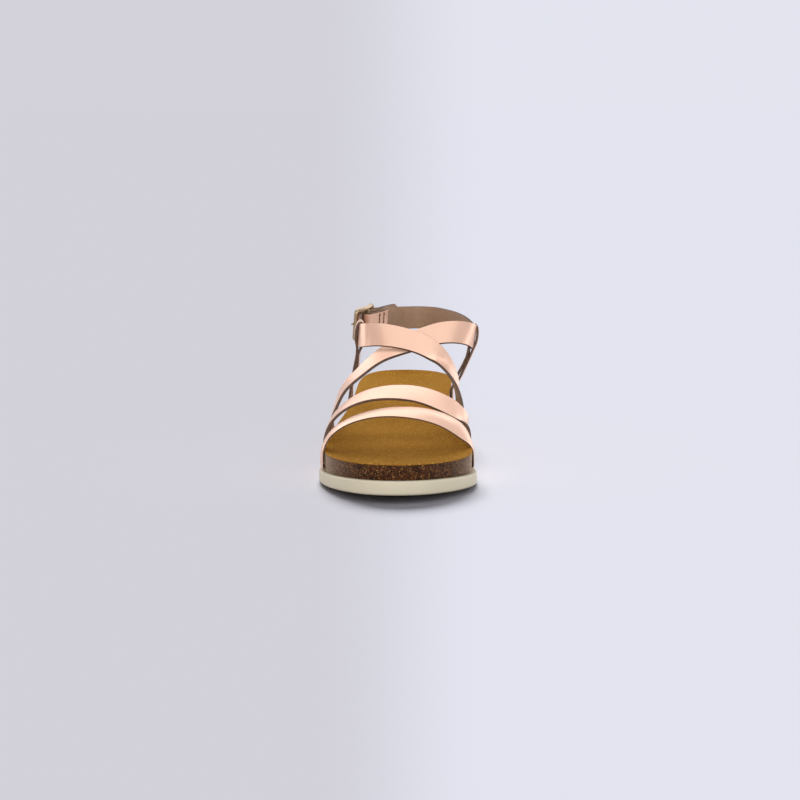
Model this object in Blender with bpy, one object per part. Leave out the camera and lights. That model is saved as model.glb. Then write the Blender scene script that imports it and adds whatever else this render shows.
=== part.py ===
"""Right-foot leather sandal: outsole, cork midsole, suede insole, strapped upper, two stays and a buckle.

Metres, +Z up. +X is the medial side (big toe), +Y the heel and -Y the toe, and the sole stands on z = 0.
Sizes and tables are in millimetres. Stations run from the back of the heel to the tip of the toe.
"""
import math
from typing import NamedTuple

import bmesh
import bpy
import numpy as np
from mathutils import Matrix

MM = 0.001
GAP = 0.3

# Sole
LENGTH = 250.0
TOE_SPRING_SLOPE = 0.0635
TOE_SPRING_START = 165.0
TOE_SPRING_BLEND = 25.0
ARCH_HEIGHT = 1.6
ARCH_START = 82.0
ARCH_END = 136.0
OUTSOLE_TOE = 8.3
OUTSOLE_HEEL = 11.5
OUTSOLE_ROUND = 1.4
CORK_INSET_LOW = 3.1
CORK_INSET_TOP = 2.7
INSOLE_THICKNESS = 1.5
STATION_ROWS = 36
FOOTBED_COLUMNS = 12

# Straps
STRAP_WIDTH = 15.0
STRAP_THICKNESS = 2.0
STRAP_WALL_INSET = 0.4
STRAP_STEP = 5.0
MARGIN_THICKNESS = 1.4
MARGIN_BEND = 2.0
MARGIN_INSET = 10.0
MARGIN_WIDTH = 18.0
STAY_TAIL = 18.0
STAY_WIDTH = 14.0
LOOP_GAP = 0.5
STAY_TOP_STATION = 83.0
STAY_TAIL_ROWS = (0.6, 0.8, 1.0)
FLOOR_TO_ANKLE = 60.0

# Buckle, in its own frame: forward along the strap, up along the bars, outward
BUCKLE_CENTRE = (-26.3, 51.5, 80.6)
BUCKLE_TURN = 28.0
BUCKLE_LEAN = 9.0
BUCKLE_RISE = 7.0
BUCKLE_HALF_LENGTH = 9.2
BUCKLE_HALF_HEIGHT = 9.4
BUCKLE_CORNER = 2.6
BUCKLE_BAR = 1.15
BUCKLE_ARCH = 3.0
PRONG_RADIUS = 0.8
PRONG_SLOT = 2.6
PRONG_HOLE = 2.4
TAB_WIDTH = 12.0
TAB_THICKNESS = 1.4
TAB_LENGTH = 17.0


class Edge(NamedTuple):
    """Half-widths of the outsole on both sides of its long axis."""
    station: float
    lateral: float
    medial: float


class Bed(NamedTuple):
    """Heights of the footbed at a station, and the power of the curve that rises from centre to rim."""
    station: float
    centre: float
    lateral: float
    medial: float
    fullness: float


class Lay(NamedTuple):
    """One row of a free strap: the middle of its outer face, and how its width runs to its back edge.

    Rise is the angle at which the width climbs, and flare how far its upper edge leans to the medial side.
    """
    x: float
    station: float
    height: float
    rise: float
    flare: float = 0.0


class Weave(NamedTuple):
    """One row of a strap inside the buckle: forward and outward places of its outer face."""
    forward: float
    outward: float


OUTLINE = (
    Edge(0.0, 0.0, 0.0),
    Edge(4.5, 17.0, 17.2),
    Edge(17.0, 27.8, 28.4),
    Edge(36.0, 32.2, 33.2),
    Edge(55.0, 33.4, 34.2),
    Edge(80.0, 34.7, 33.6),
    Edge(102.0, 36.8, 32.6),
    Edge(125.0, 40.0, 34.2),
    Edge(150.0, 43.6, 39.4),
    Edge(173.0, 46.1, 44.6),
    Edge(188.0, 46.4, 46.4),
    Edge(201.0, 44.3, 46.0),
    Edge(214.0, 40.4, 42.6),
    Edge(227.0, 34.0, 36.0),
    Edge(238.0, 26.0, 26.8),
    Edge(245.0, 18.0, 18.2),
    Edge(248.4, 10.4, 10.5),
    Edge(250.0, 0.0, 0.0),
)

FOOTBED = (
    Bed(0.0, 42.0, 42.0, 42.0, 2.4),
    Bed(5.0, 39.4, 41.9, 42.0, 2.4),
    Bed(14.0, 35.9, 41.2, 41.9, 2.4),
    Bed(28.0, 34.2, 39.8, 41.9, 2.4),
    Bed(50.0, 33.0, 37.4, 42.0, 2.4),
    Bed(75.0, 30.4, 33.9, 41.2, 2.4),
    Bed(100.0, 27.0, 30.7, 39.2, 2.4),
    Bed(125.0, 23.0, 27.6, 34.2, 2.8),
    Bed(150.0, 19.6, 24.2, 27.4, 3.4),
    Bed(175.0, 17.4, 21.0, 22.4, 4.4),
    Bed(195.0, 17.2, 20.0, 20.8, 5.0),
    Bed(215.0, 18.0, 20.4, 20.7, 5.0),
    Bed(235.0, 19.3, 21.4, 21.5, 5.0),
    Bed(244.0, 20.2, 22.0, 22.0, 5.0),
    Bed(250.0, 22.4, 22.4, 22.4, 5.0),
)

# Free rows of the straps, lateral to medial, between the ends that go down the cork's wall
TOE_STRAP = (
    Lay(-43.9, 187.2, 24.5, 3.0),
    Lay(-40.4, 186.6, 30.2, 5.0),
    Lay(-34.0, 185.8, 34.8, 5.0),
    Lay(-22.0, 184.6, 39.6, 7.0),
    Lay(-10.0, 184.0, 41.8, 11.0),
    Lay(1.2, 183.6, 42.2, 14.0),
    Lay(13.0, 183.2, 41.2, 19.0),
    Lay(25.0, 182.4, 38.2, 23.0),
    Lay(34.0, 181.6, 33.4, 24.0),
    Lay(41.8, 180.8, 26.0, 20.0),
)
SECOND_STRAP = (
    Lay(-44.2, 166.0, 27.0, 4.0),
    Lay(-41.2, 163.6, 34.2, 5.0),
    Lay(-35.4, 161.4, 40.2, 6.0),
    Lay(-23.4, 158.2, 46.8, 14.0),
    Lay(-11.5, 156.2, 49.4, 20.0),
    Lay(0.5, 156.0, 50.0, 26.0),
    Lay(12.5, 156.6, 48.6, 30.0),
    Lay(24.5, 158.8, 44.7, 33.0),
    Lay(33.6, 162.6, 39.8, 32.0),
    Lay(39.8, 164.6, 32.2, 22.0, -4.0),
)
INSTEP_STRAP = (
    Lay(-42.6, 145.6, 29.0, 5.0),
    Lay(-40.4, 142.0, 37.0, 9.0),
    Lay(-34.6, 134.0, 49.2, 12.0),
    Lay(-25.0, 126.6, 58.0, 15.0),
    Lay(-13.0, 118.6, 66.0, 24.0),
    Lay(-0.8, 112.0, 71.7, 36.0),
    Lay(11.6, 107.5, 75.4, 48.0),
    Lay(24.2, 105.3, 78.8, 53.0),
    Lay(35.4, 102.0, 78.8, 59.0),
    Lay(42.8, 97.2, 76.6, 70.0, 6.0),
    Lay(45.9, 91.2, 74.6, 84.0, 10.0),
    Lay(45.4, 83.0, 73.8, 90.0, 10.0),
    Lay(44.6, 74.4, 73.8, 90.0, 10.0),
    Lay(41.4, 57.0, 75.4, 90.0, 6.0),
    Lay(36.6, 39.0, 76.8, 90.0, 2.0),
    Lay(29.0, 19.4, 77.5, 90.0),
    Lay(19.4, 5.8, 77.8, 90.0),
    Lay(9.8, 1.4, 77.8, 90.0),
    Lay(0.0, 4.8, 77.9, 89.0),
    Lay(-7.6, 13.2, 78.6, 87.0),
    Lay(-13.2, 24.6, 79.6, 84.0),
)
ANKLE_STRAP_TIP = (
    Lay(-8.6, 9.2, 80.6, 88.0, -2.0),
    Lay(-12.8, 16.9, 79.4, 87.0, -2.0),
    Lay(-16.4, 25.4, 79.6, 86.0, -1.0),
)
ANKLE_STRAP = (
    Lay(-28.7, 72.0, 76.8, 88.0, 6.0),
    Lay(-27.3, 83.0, 75.6, 86.0, 4.0),
    Lay(-26.0, 92.0, 75.2, 82.0, 3.0),
    Lay(-22.6, 100.4, 76.8, 70.0),
    Lay(-14.0, 107.0, 78.4, 60.0),
    Lay(-4.0, 109.7, 77.8, 55.0),
    Lay(5.6, 110.5, 75.4, 48.0),
    Lay(14.0, 112.0, 71.8, 41.0),
    Lay(22.4, 115.6, 66.7, 32.0),
    Lay(29.6, 122.4, 60.8, 24.0),
    Lay(33.6, 132.0, 53.0, 17.0),
    Lay(36.6, 142.6, 43.0, 10.0),
)
# Straight runs of the stays between the cork's rim and the loops, as places of the outer face
STAY_LATERAL = (
    Lay(-33.6, 82.2, 41.0, 0.0),
    Lay(-31.6, 82.6, 53.0, 0.0),
)
STAY_MEDIAL = (
    Lay(35.2, 82.2, 46.0, 0.0),
    Lay(39.6, 82.6, 55.0, 0.0),
)

# Half of a stay's loop over the strap: rise past the strap's upper edge, and step in from the loop's face
LOOP_CORNER = ((-0.7, 0.0), (1.6, 0.6), (LOOP_GAP + STRAP_THICKNESS, 2.2))
# Round end of the ankle strap: reach past its last row, and share of the width
STRAP_TIP = ((5.0, 0.30), (4.4, 0.56), (2.8, 0.84))

# Inside the buckle: the ankle strap weaves over the centre bar, the instep strap's tab folds round that bar
ANKLE_WEAVE = (
    Weave(-16.0, -0.7),
    Weave(-9.2, -1.5),
    Weave(-5.0, 0.6),
    Weave(-1.6, 2.2),
    Weave(1.6, 2.2),
    Weave(5.0, 0.6),
    Weave(9.2, -1.7),
)
TAB_OUT = (
    Weave(-13.0, -4.2),
    Weave(-8.6, -3.9),
    Weave(-4.4, -1.9),
)
TAB_BACK = (
    Weave(-4.4, -6.9),
    Weave(-9.2, -8.0),
    Weave(-TAB_LENGTH, -8.4),
)
PRONG_ARCH = (
    Weave(-1.7, 3.1),
    Weave(-0.4, 3.6),
    Weave(1.6, 3.7),
    Weave(5.0, 2.9),
)
PRONG_TIP = Weave(2.4, -0.4)
# Depths, outward, between which the tab and the strap are opened for the prong
TAB_SLOT_DEPTH = (-7.4, 0.1)
STRAP_HOLE_DEPTH = (-0.4, 4.0)
STRAP_HOLE_REACH = (-3.5, -0.7)

# Colours and surfaces: red, green, blue, roughness, metallic
FINISHES = {
    "cream_sole": (0.62, 0.56, 0.40, 0.65, 0.0),
    "cork": (0.09, 0.045, 0.02, 0.85, 0.0),
    "mustard_suede": (0.33, 0.18, 0.035, 0.95, 0.0),
    "rose_leather": (0.80, 0.52, 0.38, 0.38, 0.3),
    "gilt": (0.62, 0.50, 0.26, 0.28, 1.0),
}


def smooth(knots, values, at):
    """Cubic curve through values at knots, whose slope at a knot comes from its two neighbours."""
    knots = np.asarray(knots, float)
    values = np.asarray(values, float).reshape(len(knots), -1)
    at = np.atleast_1d(np.asarray(at, float))
    step = np.diff(knots)[:, None]
    slope = np.diff(values, axis=0) / step
    inner = (slope[:-1] * step[1:] + slope[1:] * step[:-1]) / (step[:-1] + step[1:])
    first = 1.5 * slope[:1] - 0.5 * inner[:1]
    last = 1.5 * slope[-1:] - 0.5 * inner[-1:]
    tangent = np.vstack((first, inner, last))
    i = np.clip(np.searchsorted(knots, at, side="right") - 1, 0, len(step) - 1)
    h = step[i]
    t = (at - knots[i])[:, None] / h
    rise = t * t * (3 - 2 * t)
    bend = h * t * (1 - t)
    sway = bend * (tangent[i] * (1 - t) - tangent[i + 1] * t)
    return values[i] + (values[i + 1] - values[i]) * rise + sway


def unit(vector):
    """The vector, or each row of an array, at length 1."""
    vector = np.asarray(vector, float)
    return vector / np.linalg.norm(vector, axis=-1, keepdims=True)


def turn_of(station):
    """Angle along the outline, 0 at the heel's back and pi at the toe's tip, that makes both ends round."""
    return np.arccos(1 - 2 * np.clip(np.asarray(station, float) / LENGTH, 0, 1))


def edge_points(turn, side, inset):
    """Plan points on one side of the sole (-1 lateral, 1 medial), moved in from the outsole's edge."""
    knots = turn_of([row.station for row in OUTLINE])
    widths = [row.lateral if side < 0 else row.medial for row in OUTLINE]

    def place(angle):
        angle = np.clip(np.atleast_1d(angle), 0, math.pi)
        width = smooth(knots, widths, angle)[:, 0]
        return np.stack((side * width, LENGTH / 2 * np.cos(angle)), -1)

    small = 0.002
    along = unit(place(np.asarray(turn) + small) - place(np.asarray(turn) - small))
    outward = side * np.stack((-along[:, 1], along[:, 0]), -1)
    return place(turn) - inset * outward


def toe_spring(station):
    """Lift of the sole under the toes: a straight ramp after a soft bend behind the ball of the foot."""
    past = np.clip(station - TOE_SPRING_START, 0, None)
    bend = np.minimum(past, TOE_SPRING_BLEND)
    return TOE_SPRING_SLOPE * (bend ** 2 / (2 * TOE_SPRING_BLEND) + past - bend)


def outsole_bottom(station):
    """Height of the outsole's underside: flat heel and forefoot, a shallow arch, then the toe spring."""
    waist = np.clip((station - ARCH_START) / (ARCH_END - ARCH_START), 0, 1)
    return toe_spring(station) + ARCH_HEIGHT * np.sin(math.pi * waist) ** 2


def outsole_top(station):
    """Height of the outsole's upper face, without the arch, so that the cork sits on a smooth sheet."""
    return toe_spring(station) + OUTSOLE_HEEL + (OUTSOLE_TOE - OUTSOLE_HEEL) * station / LENGTH


def footbed(station, across):
    """Height of the insole's upper face; across runs from -1 at the lateral rim to 1 at the medial rim."""
    columns = smooth([row.station for row in FOOTBED], [row[1:] for row in FOOTBED], station)
    centre, lateral, medial, fullness = columns.T
    rim = np.where(np.asarray(across) < 0, lateral, medial)
    return centre + (rim - centre) * np.abs(across) ** fullness


def new_object(name, points, faces, finish):
    """Mesh object from points in millimetres, with its faces turned outward."""
    mesh = bpy.data.meshes.new(name)
    mesh.from_pydata([tuple(np.asarray(p, float) * MM) for p in points], [], faces)
    work = bmesh.new()
    work.from_mesh(mesh)
    bmesh.ops.recalc_face_normals(work, faces=work.faces)
    work.to_mesh(mesh)
    work.free()
    mesh.shade_smooth()
    mesh.set_sharp_from_angle(angle=math.radians(35))
    mesh.materials.append(material(finish))
    thing = bpy.data.objects.new(name, mesh)
    bpy.context.scene.collection.objects.link(thing)
    return thing


def material(finish):
    """Principled material of a named finish, made once."""
    if finish in bpy.data.materials:
        return bpy.data.materials[finish]
    red, green, blue, roughness, metallic = FINISHES[finish]
    made = bpy.data.materials.new(finish)
    made.use_nodes = True
    shader = made.node_tree.nodes["Principled BSDF"]
    shader.inputs["Base Color"].default_value = (red, green, blue, 1.0)
    shader.inputs["Roughness"].default_value = roughness
    shader.inputs["Metallic"].default_value = metallic
    return made


def as_guide(thing):
    """Keep an object out of the part: it only cuts or completes another one."""
    thing.hide_render = True
    thing.display_type = "WIRE"
    return thing


def combine(thing, other, operation):
    """Boolean of a hidden guide on an object."""
    modifier = thing.modifiers.new(other.name, "BOOLEAN")
    modifier.object = as_guide(other)
    modifier.operation = operation
    modifier.solver = "EXACT"


# Sole


def sole_solid(name, finish, levels, columns):
    """Closed solid from rings round the outline, each an inset and a height of (station, across).

    The first ring borders the underside and the last one the upper face. Both faces are grids of columns
    between the two sides, closed to a single point at heel and toe.
    """
    turns = np.linspace(0, math.pi, STATION_ROWS + 1)
    points, faces, rings = [], [], []

    def add(plan, height):
        points.append((plan[0], plan[1], float(height)))
        return len(points) - 1

    def station_of(plan):
        return LENGTH / 2 - plan[1]

    sides = {}
    for inset, height in levels:
        lateral = edge_points(turns, -1, inset)
        medial = edge_points(turns, 1, inset)
        left = [add(p, height(station_of(p), -1.0)[0]) for p in lateral]
        right = [add(p, height(station_of(p), 1.0)[0]) for p in medial[1:-1]]
        rings.append(left + right[::-1])
        sides[len(rings) - 1] = (lateral, medial, left, [left[0]] + right + [left[-1]], height)
    for low, high in zip(rings, rings[1:]):
        for i in range(len(low)):
            j = (i + 1) % len(low)
            faces.append((low[i], low[j], high[j], high[i]))
    spread = np.sin(np.linspace(-math.pi / 2, math.pi / 2, columns + 1))[1:-1]
    for level in (0, len(rings) - 1):
        lateral, medial, left, right, height = sides[level]
        rows = []
        for j in range(1, STATION_ROWS):
            row = [left[j]]
            for across in spread:
                plan = lateral[j] + (medial[j] - lateral[j]) * (1 + across) / 2
                row.append(add(plan, height(station_of(plan), across)[0]))
            rows.append(row + [right[j]])
        for near, far in zip(rows, rows[1:]):
            for k in range(len(near) - 1):
                faces.append((near[k], near[k + 1], far[k + 1], far[k]))
        for tip, row in ((left[0], rows[0]), (left[-1], rows[-1])):
            for k in range(len(row) - 1):
                faces.append((tip, row[k], row[k + 1]))
    return new_object(name, points, faces, finish)


def outsole():
    """Sole plate with an upright side and rounded edges."""
    def level(height, lift):
        return lambda station, across: np.atleast_1d(height(station) + lift)

    r = OUTSOLE_ROUND
    levels = (
        (r, level(outsole_bottom, 0.0)),
        (0.3 * r, level(outsole_bottom, 0.3 * r)),
        (0.0, level(outsole_bottom, r)),
        (0.0, level(outsole_top, -0.8 * r)),
        (0.25 * r, level(outsole_top, -0.25 * r)),
        (0.8 * r, level(outsole_top, 0.0)),
    )
    return sole_solid("outsole", "cream_sole", levels, 1)


def cork_midsole():
    """Cork block under the insole, with a pocket in its underside for each strap's tucked end."""
    under = lambda station, across: np.atleast_1d(outsole_top(station) + GAP)
    over = lambda station, across: footbed(station, across) - INSOLE_THICKNESS - GAP
    levels = ((CORK_INSET_LOW, under), (CORK_INSET_TOP, over))
    block = sole_solid("cork_midsole", "cork", levels, FOOTBED_COLUMNS)
    for name, (side, station) in LASTED_ENDS.items():
        combine(block, pocket(name + "_pocket", side, station), "DIFFERENCE")
    return block


def insole():
    """Suede cover of the footbed, an even sheet up to the rim."""
    under = lambda station, across: footbed(station, across) - INSOLE_THICKNESS
    levels = ((CORK_INSET_TOP, under), (CORK_INSET_TOP, footbed))
    return sole_solid("insole", "mustard_suede", levels, FOOTBED_COLUMNS)


# Straps


class Row(NamedTuple):
    """One section of a strap: the middle of its outer face, the way across, width and thickness."""
    point: np.ndarray
    across: np.ndarray
    width: float = STRAP_WIDTH
    thickness: float = STRAP_THICKNESS


LASTED_ENDS = {
    "toe_lateral": (-1, 187.6),
    "toe_medial": (1, 180.6),
    "second_lateral": (-1, 167.0),
    "second_medial": (1, 165.0),
    "instep_lateral": (-1, 147.4),
    "ankle_medial": (1, 149.4),
    "stay_lateral": (-1, 82.0),
    "stay_medial": (1, 82.0),
}


def wall_frame(side, station):
    """Point on the outsole's edge, the way to the heel along it, and the way out, in plan."""
    half = STRAP_WIDTH / 2
    front, middle, back = edge_points(turn_of([station + half, station, station - half]), side, 0.0)
    along = unit(back - front)
    outward = side * np.array([along[1], -along[0]])
    return middle, along, outward


def tuck_floor(station):
    """Height at which a strap's tuck clears the outsole over its whole width."""
    return float(max(outsole_top(station + shift) for shift in (-MARGIN_WIDTH / 2, MARGIN_WIDTH / 2))) + GAP


def lasted_end(name, heelward=1.0):
    """Rows of a strap's end, from its tuck under the cork, round the cork's lower edge and up to the rim.

    The tuck is a little wider than the strap, so that the tucks of close neighbours join.
    """
    side, station = LASTED_ENDS[name]
    middle, along, outward = wall_frame(side, station)
    floor = tuck_floor(station)
    rim = float(footbed(station, side)[0])
    across = heelward * np.array([along[0], along[1], 0.0])

    def row(inset, height, thickness, width=STRAP_WIDTH):
        return Row(np.append(middle - inset * outward, height), across, width, thickness)

    bend_inset = STRAP_WALL_INSET + MARGIN_BEND
    rows = [row(MARGIN_INSET, floor, MARGIN_THICKNESS, MARGIN_WIDTH),
            row(bend_inset + MARGIN_BEND, floor, MARGIN_THICKNESS, MARGIN_WIDTH),
            row(bend_inset + 0.4 * MARGIN_BEND, floor, MARGIN_THICKNESS)]
    for angle in np.radians((0, 30, 60, 90)):
        inset = bend_inset - MARGIN_BEND * math.sin(angle)
        rows.append(row(inset, floor + MARGIN_BEND * (1 - math.cos(angle)), MARGIN_THICKNESS))
    for height in (0.5 * (floor + rim), rim - MARGIN_BEND, rim):
        rows.append(row(STRAP_WALL_INSET, height, STRAP_THICKNESS))
    return rows


def pocket(name, side, station):
    """Cutter for a strap's tucked end: a flat block from outside the wall to just past the tuck."""
    middle, along, outward = wall_frame(side, station)
    low = float(outsole_top(station)) - 2 * GAP
    high = tuck_floor(station) + MARGIN_THICKNESS + 2 * GAP
    half = MARGIN_WIDTH / 2 + 2 * GAP
    points = []
    for height in (low, high):
        for inset, shift in ((-1.0, -half), (-1.0, half), (MARGIN_INSET + 2 * GAP, half),
                             (MARGIN_INSET + 2 * GAP, -half)):
            points.append(np.append(middle - inset * outward + shift * along, height))
    faces = [(0, 1, 2, 3), (4, 5, 6, 7)] + [(i, (i + 1) % 4, (i + 1) % 4 + 4, i + 4) for i in range(4)]
    return new_object(name, points, faces, "cork")


def free_rows(table):
    """Rows of a strap's free stretch from its table."""
    rows = []
    for lay in table:
        rise = math.radians(lay.rise)
        across = unit([math.tan(math.radians(lay.flare)), math.cos(rise), math.sin(rise)])
        rows.append(Row(np.array([lay.x, LENGTH / 2 - lay.station, lay.height]), across))
    return rows


def trace(rows):
    """Sample a strap's rows along a smooth curve.

    Gives points, the directions along, across and out, widths and thicknesses.
    """
    points = np.array([row.point for row in rows])
    chord = np.linalg.norm(np.diff(points, axis=0), axis=1)
    knots = np.concatenate(([0.0], np.cumsum(chord)))
    at = [0.0]
    for start, length in zip(knots, chord):
        count = max(1, math.ceil(length / STRAP_STEP))
        at.extend(start + length * (i + 1) / count for i in range(count))
    at = np.array(at)
    place = smooth(knots, points, at)
    along = unit(smooth(knots, points, at + 0.05) - smooth(knots, points, at - 0.05))
    across = smooth(knots, [row.across for row in rows], at)
    across = unit(across - along * np.sum(across * along, axis=1, keepdims=True))
    sizes = np.array([[np.interp(a, knots, [row[i] for row in rows]) for i in (2, 3)] for a in at])
    return place, along, across, np.cross(along, across), sizes[:, 0], sizes[:, 1]


def ribbon(name, rows, finish="rose_leather"):
    """Closed strap of rectangular section along its rows."""
    place, _, across, outward, width, thickness = trace(rows)
    half = across * width[:, None] / 2
    depth = outward * thickness[:, None]
    corners = np.stack((place - half, place + half, place + half - depth, place - half - depth), axis=1)
    points = corners.reshape(-1, 3)
    faces = [(0, 1, 2, 3), tuple(len(points) - 4 + i for i in range(4))]
    for s in range(0, len(points) - 4, 4):
        for i in range(4):
            j = (i + 1) % 4
            faces.append((s + i, s + j, s + 4 + j, s + 4 + i))
    return new_object(name, points, faces, finish)


def buckle_axes():
    """Centre of the buckle and its directions: forward along the strap, up along the bars, outward."""
    turn = math.radians(BUCKLE_TURN)
    forward = np.array([-math.sin(turn), -math.cos(turn), 0.0])
    outward = np.array([-math.cos(turn), math.sin(turn), 0.0])
    lean = math.radians(BUCKLE_LEAN)
    up = np.array([0.0, 0.0, 1.0]) * math.cos(lean) - outward * math.sin(lean)
    rise = math.radians(BUCKLE_RISE)
    tilted = forward * math.cos(rise) - up * math.sin(rise)
    up = up * math.cos(rise) + forward * math.sin(rise)
    x, station, z = BUCKLE_CENTRE
    return np.array([x, LENGTH / 2 - station, z]), tilted, up, np.cross(tilted, up)


def in_buckle(forward, up, outward):
    """Point given in the buckle's own frame."""
    centre, u, v, w = buckle_axes()
    return centre + forward * u + up * v + outward * w


def weave_rows(table, width=STRAP_WIDTH, thickness=STRAP_THICKNESS):
    """Rows of a strap inside the buckle."""
    up = buckle_axes()[2]
    return [Row(in_buckle(w.forward, 0.0, w.outward), up, width, thickness) for w in table]


def instep_rows():
    """Instep strap: lateral sole, over the instep, round the heel, its tab folded round the centre bar."""
    fold = BUCKLE_BAR + GAP + TAB_THICKNESS
    angles = np.radians((90, 45, 0, -45, -90))
    around = [Weave(fold * math.cos(a), fold * math.sin(a) - BUCKLE_ARCH) for a in angles]
    rows = lasted_end("instep_lateral") + free_rows(INSTEP_STRAP)
    rows += weave_rows(TAB_OUT[:1])
    rows += weave_rows(TAB_OUT[1:], TAB_WIDTH, 0.5 * (STRAP_THICKNESS + TAB_THICKNESS))
    rows += weave_rows(around, TAB_WIDTH, TAB_THICKNESS)
    return rows + weave_rows(TAB_BACK, TAB_WIDTH, TAB_THICKNESS)


def ankle_rows():
    """Ankle strap: tip, through the buckle and the lateral stay, over the instep strap, medial sole."""
    body = free_rows(ANKLE_STRAP_TIP) + weave_rows(ANKLE_WEAVE) + free_rows(ANKLE_STRAP)
    first = body[0]
    back = unit(first.point - body[1].point)
    tip = [first._replace(point=first.point + back * reach, width=STRAP_WIDTH * share)
           for reach, share in STRAP_TIP]
    return tip + body + lasted_end("ankle_medial")[::-1]


def upper():
    """The four straps as one solid, slotted for the prong."""
    toe = lasted_end("toe_lateral") + free_rows(TOE_STRAP) + lasted_end("toe_medial")[::-1]
    second = lasted_end("second_lateral") + free_rows(SECOND_STRAP) + lasted_end("second_medial")[::-1]
    whole = ribbon("upper", ankle_rows())
    for name, rows in (("instep_strap", instep_rows()), ("second_strap", second), ("toe_strap", toe)):
        combine(whole, ribbon(name, rows), "UNION")
    slot, hole = PRONG_SLOT / 2, PRONG_HOLE / 2
    reach = BUCKLE_BAR + GAP + 2 * PRONG_RADIUS + GAP
    tab_slot = buckle_block("tab_slot", (-reach, reach), (-slot, slot), TAB_SLOT_DEPTH)
    strap_hole = buckle_block("strap_hole", STRAP_HOLE_REACH, (-hole, hole), STRAP_HOLE_DEPTH)
    for cutter in (tab_slot, strap_hole):
        combine(whole, cutter, "DIFFERENCE")
    return whole


def buckle_block(name, forward, up, outward):
    """Block between two places along each of the buckle's directions."""
    corners = ((0, 0), (1, 0), (1, 1), (0, 1))
    points = [in_buckle(forward[i], up[j], outward[k]) for k in (0, 1) for i, j in corners]
    faces = [(0, 1, 2, 3), (4, 5, 6, 7)] + [(i, (i + 1) % 4, (i + 1) % 4 + 4, i + 4) for i in range(4)]
    return new_object(name, points, faces, "rose_leather")


def stay(name, side, table, strap):
    """Strap from the sole up to a loop round the ankle strap, with its tail doubled down inside."""
    place, along, across, outward, _, _ = trace(strap)
    station = LENGTH / 2 - place[:, 1]
    here = (place[:, 2] > FLOOR_TO_ANKLE) & (side * place[:, 0] > 0)
    i = int(np.argmin(np.where(here, np.abs(station - STAY_TOP_STATION), np.inf)))
    over = LOOP_GAP + STRAP_THICKNESS
    half = STRAP_WIDTH / 2
    ways = -along[i]

    def around(up, out):
        return Row(place[i] + up * across[i] + out * outward[i], ways)

    rows = lasted_end(name, heelward=-side)
    wall = rows[-1].across
    for n, row in enumerate(free_rows(table), 1):
        share = n / (len(table) + 1)
        rows.append(row._replace(across=unit(wall * (1 - share) + ways * share)))
    rise_rows = len(rows) + 1
    deep = -2 * STRAP_THICKNESS - LOOP_GAP
    rows += [around(-half, over), around(0.0, over)]
    rows += [around(half + rise, over - step) for rise, step in LOOP_CORNER]
    rows += [around(half + rise, deep + step) for rise, step in LOOP_CORNER[::-1]]
    rows += [around(0.0, deep), around(-half - LOOP_GAP, deep)]
    outer, _, _, out, _, _ = trace(rows[:rise_rows])
    travel = np.concatenate(([0.0], np.cumsum(np.linalg.norm(np.diff(outer, axis=0), axis=1))))
    for share in STAY_TAIL_ROWS:
        at = travel[-1] - share * STAY_TAIL
        spot = np.array([np.interp(at, travel, column) for column in outer.T])
        facing = np.array([np.interp(at, travel, column) for column in out.T])
        rows.append(Row(spot - (2 * STRAP_THICKNESS + GAP) * unit(facing), ways))
    return ribbon(name, [row._replace(width=STAY_WIDTH) for row in rows])


# Buckle


def tube(name, path, radius, closed, finish="gilt", sides=10):
    """Round bar along a path of points in the buckle's frame, with flat ends unless it is closed."""
    path = np.array([in_buckle(*p) for p in path])
    ahead, behind = np.roll(path, -1, axis=0), np.roll(path, 1, axis=0)
    if not closed:
        ahead[-1], behind[0] = path[-1], path[0]
    along = unit(ahead - behind)
    side = np.zeros(3)
    points, faces = [], []
    for point, way in zip(path, along):
        start = side if np.any(side) else np.cross(way, unit(way[[2, 0, 1]]))
        side = unit(start - way * np.dot(start, way))
        other = np.cross(way, side)
        for n in range(sides):
            angle = 2 * math.pi * n / sides
            points.append(point + radius * (math.cos(angle) * side + math.sin(angle) * other))
    count = len(path)
    for s in range(count if closed else count - 1):
        e = (s + 1) % count
        for n in range(sides):
            m = (n + 1) % sides
            faces.append((s * sides + n, s * sides + m, e * sides + m, e * sides + n))
    if not closed:
        faces += [tuple(range(sides)), tuple((count - 1) * sides + n for n in range(sides))]
    return new_object(name, points, faces, finish)


def frame_sag(forward):
    """How far the arched frame lies inward of its end bars."""
    return -BUCKLE_ARCH * (1 - (forward / BUCKLE_HALF_LENGTH) ** 2)


def buckle_frame():
    """Rectangular frame with round corners, arched in towards its centre bar."""
    inner = BUCKLE_HALF_LENGTH - BUCKLE_CORNER, BUCKLE_HALF_HEIGHT - BUCKLE_CORNER
    path = []
    for quarter, (x, y) in enumerate(((1, 1), (-1, 1), (-1, -1), (1, -1))):
        for angle in np.radians(quarter * 90 + np.array((0, 22.5, 45, 67.5, 90))):
            forward = x * inner[0] + BUCKLE_CORNER * math.cos(angle)
            path.append((forward, y * inner[1] + BUCKLE_CORNER * math.sin(angle), frame_sag(forward)))
        if quarter in (0, 2):
            for share in (0.5, 0.0, -0.5):
                path.append((x * share * inner[0], y * BUCKLE_HALF_HEIGHT, frame_sag(share * inner[0])))
    frame = tube("buckle_frame", path, BUCKLE_BAR, True)
    bar = [(0.0, up * BUCKLE_HALF_HEIGHT, -BUCKLE_ARCH) for up in (-1.0, 0.0, 1.0)]
    combine(frame, tube("centre_bar", bar, BUCKLE_BAR, False), "UNION")
    return frame


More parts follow.
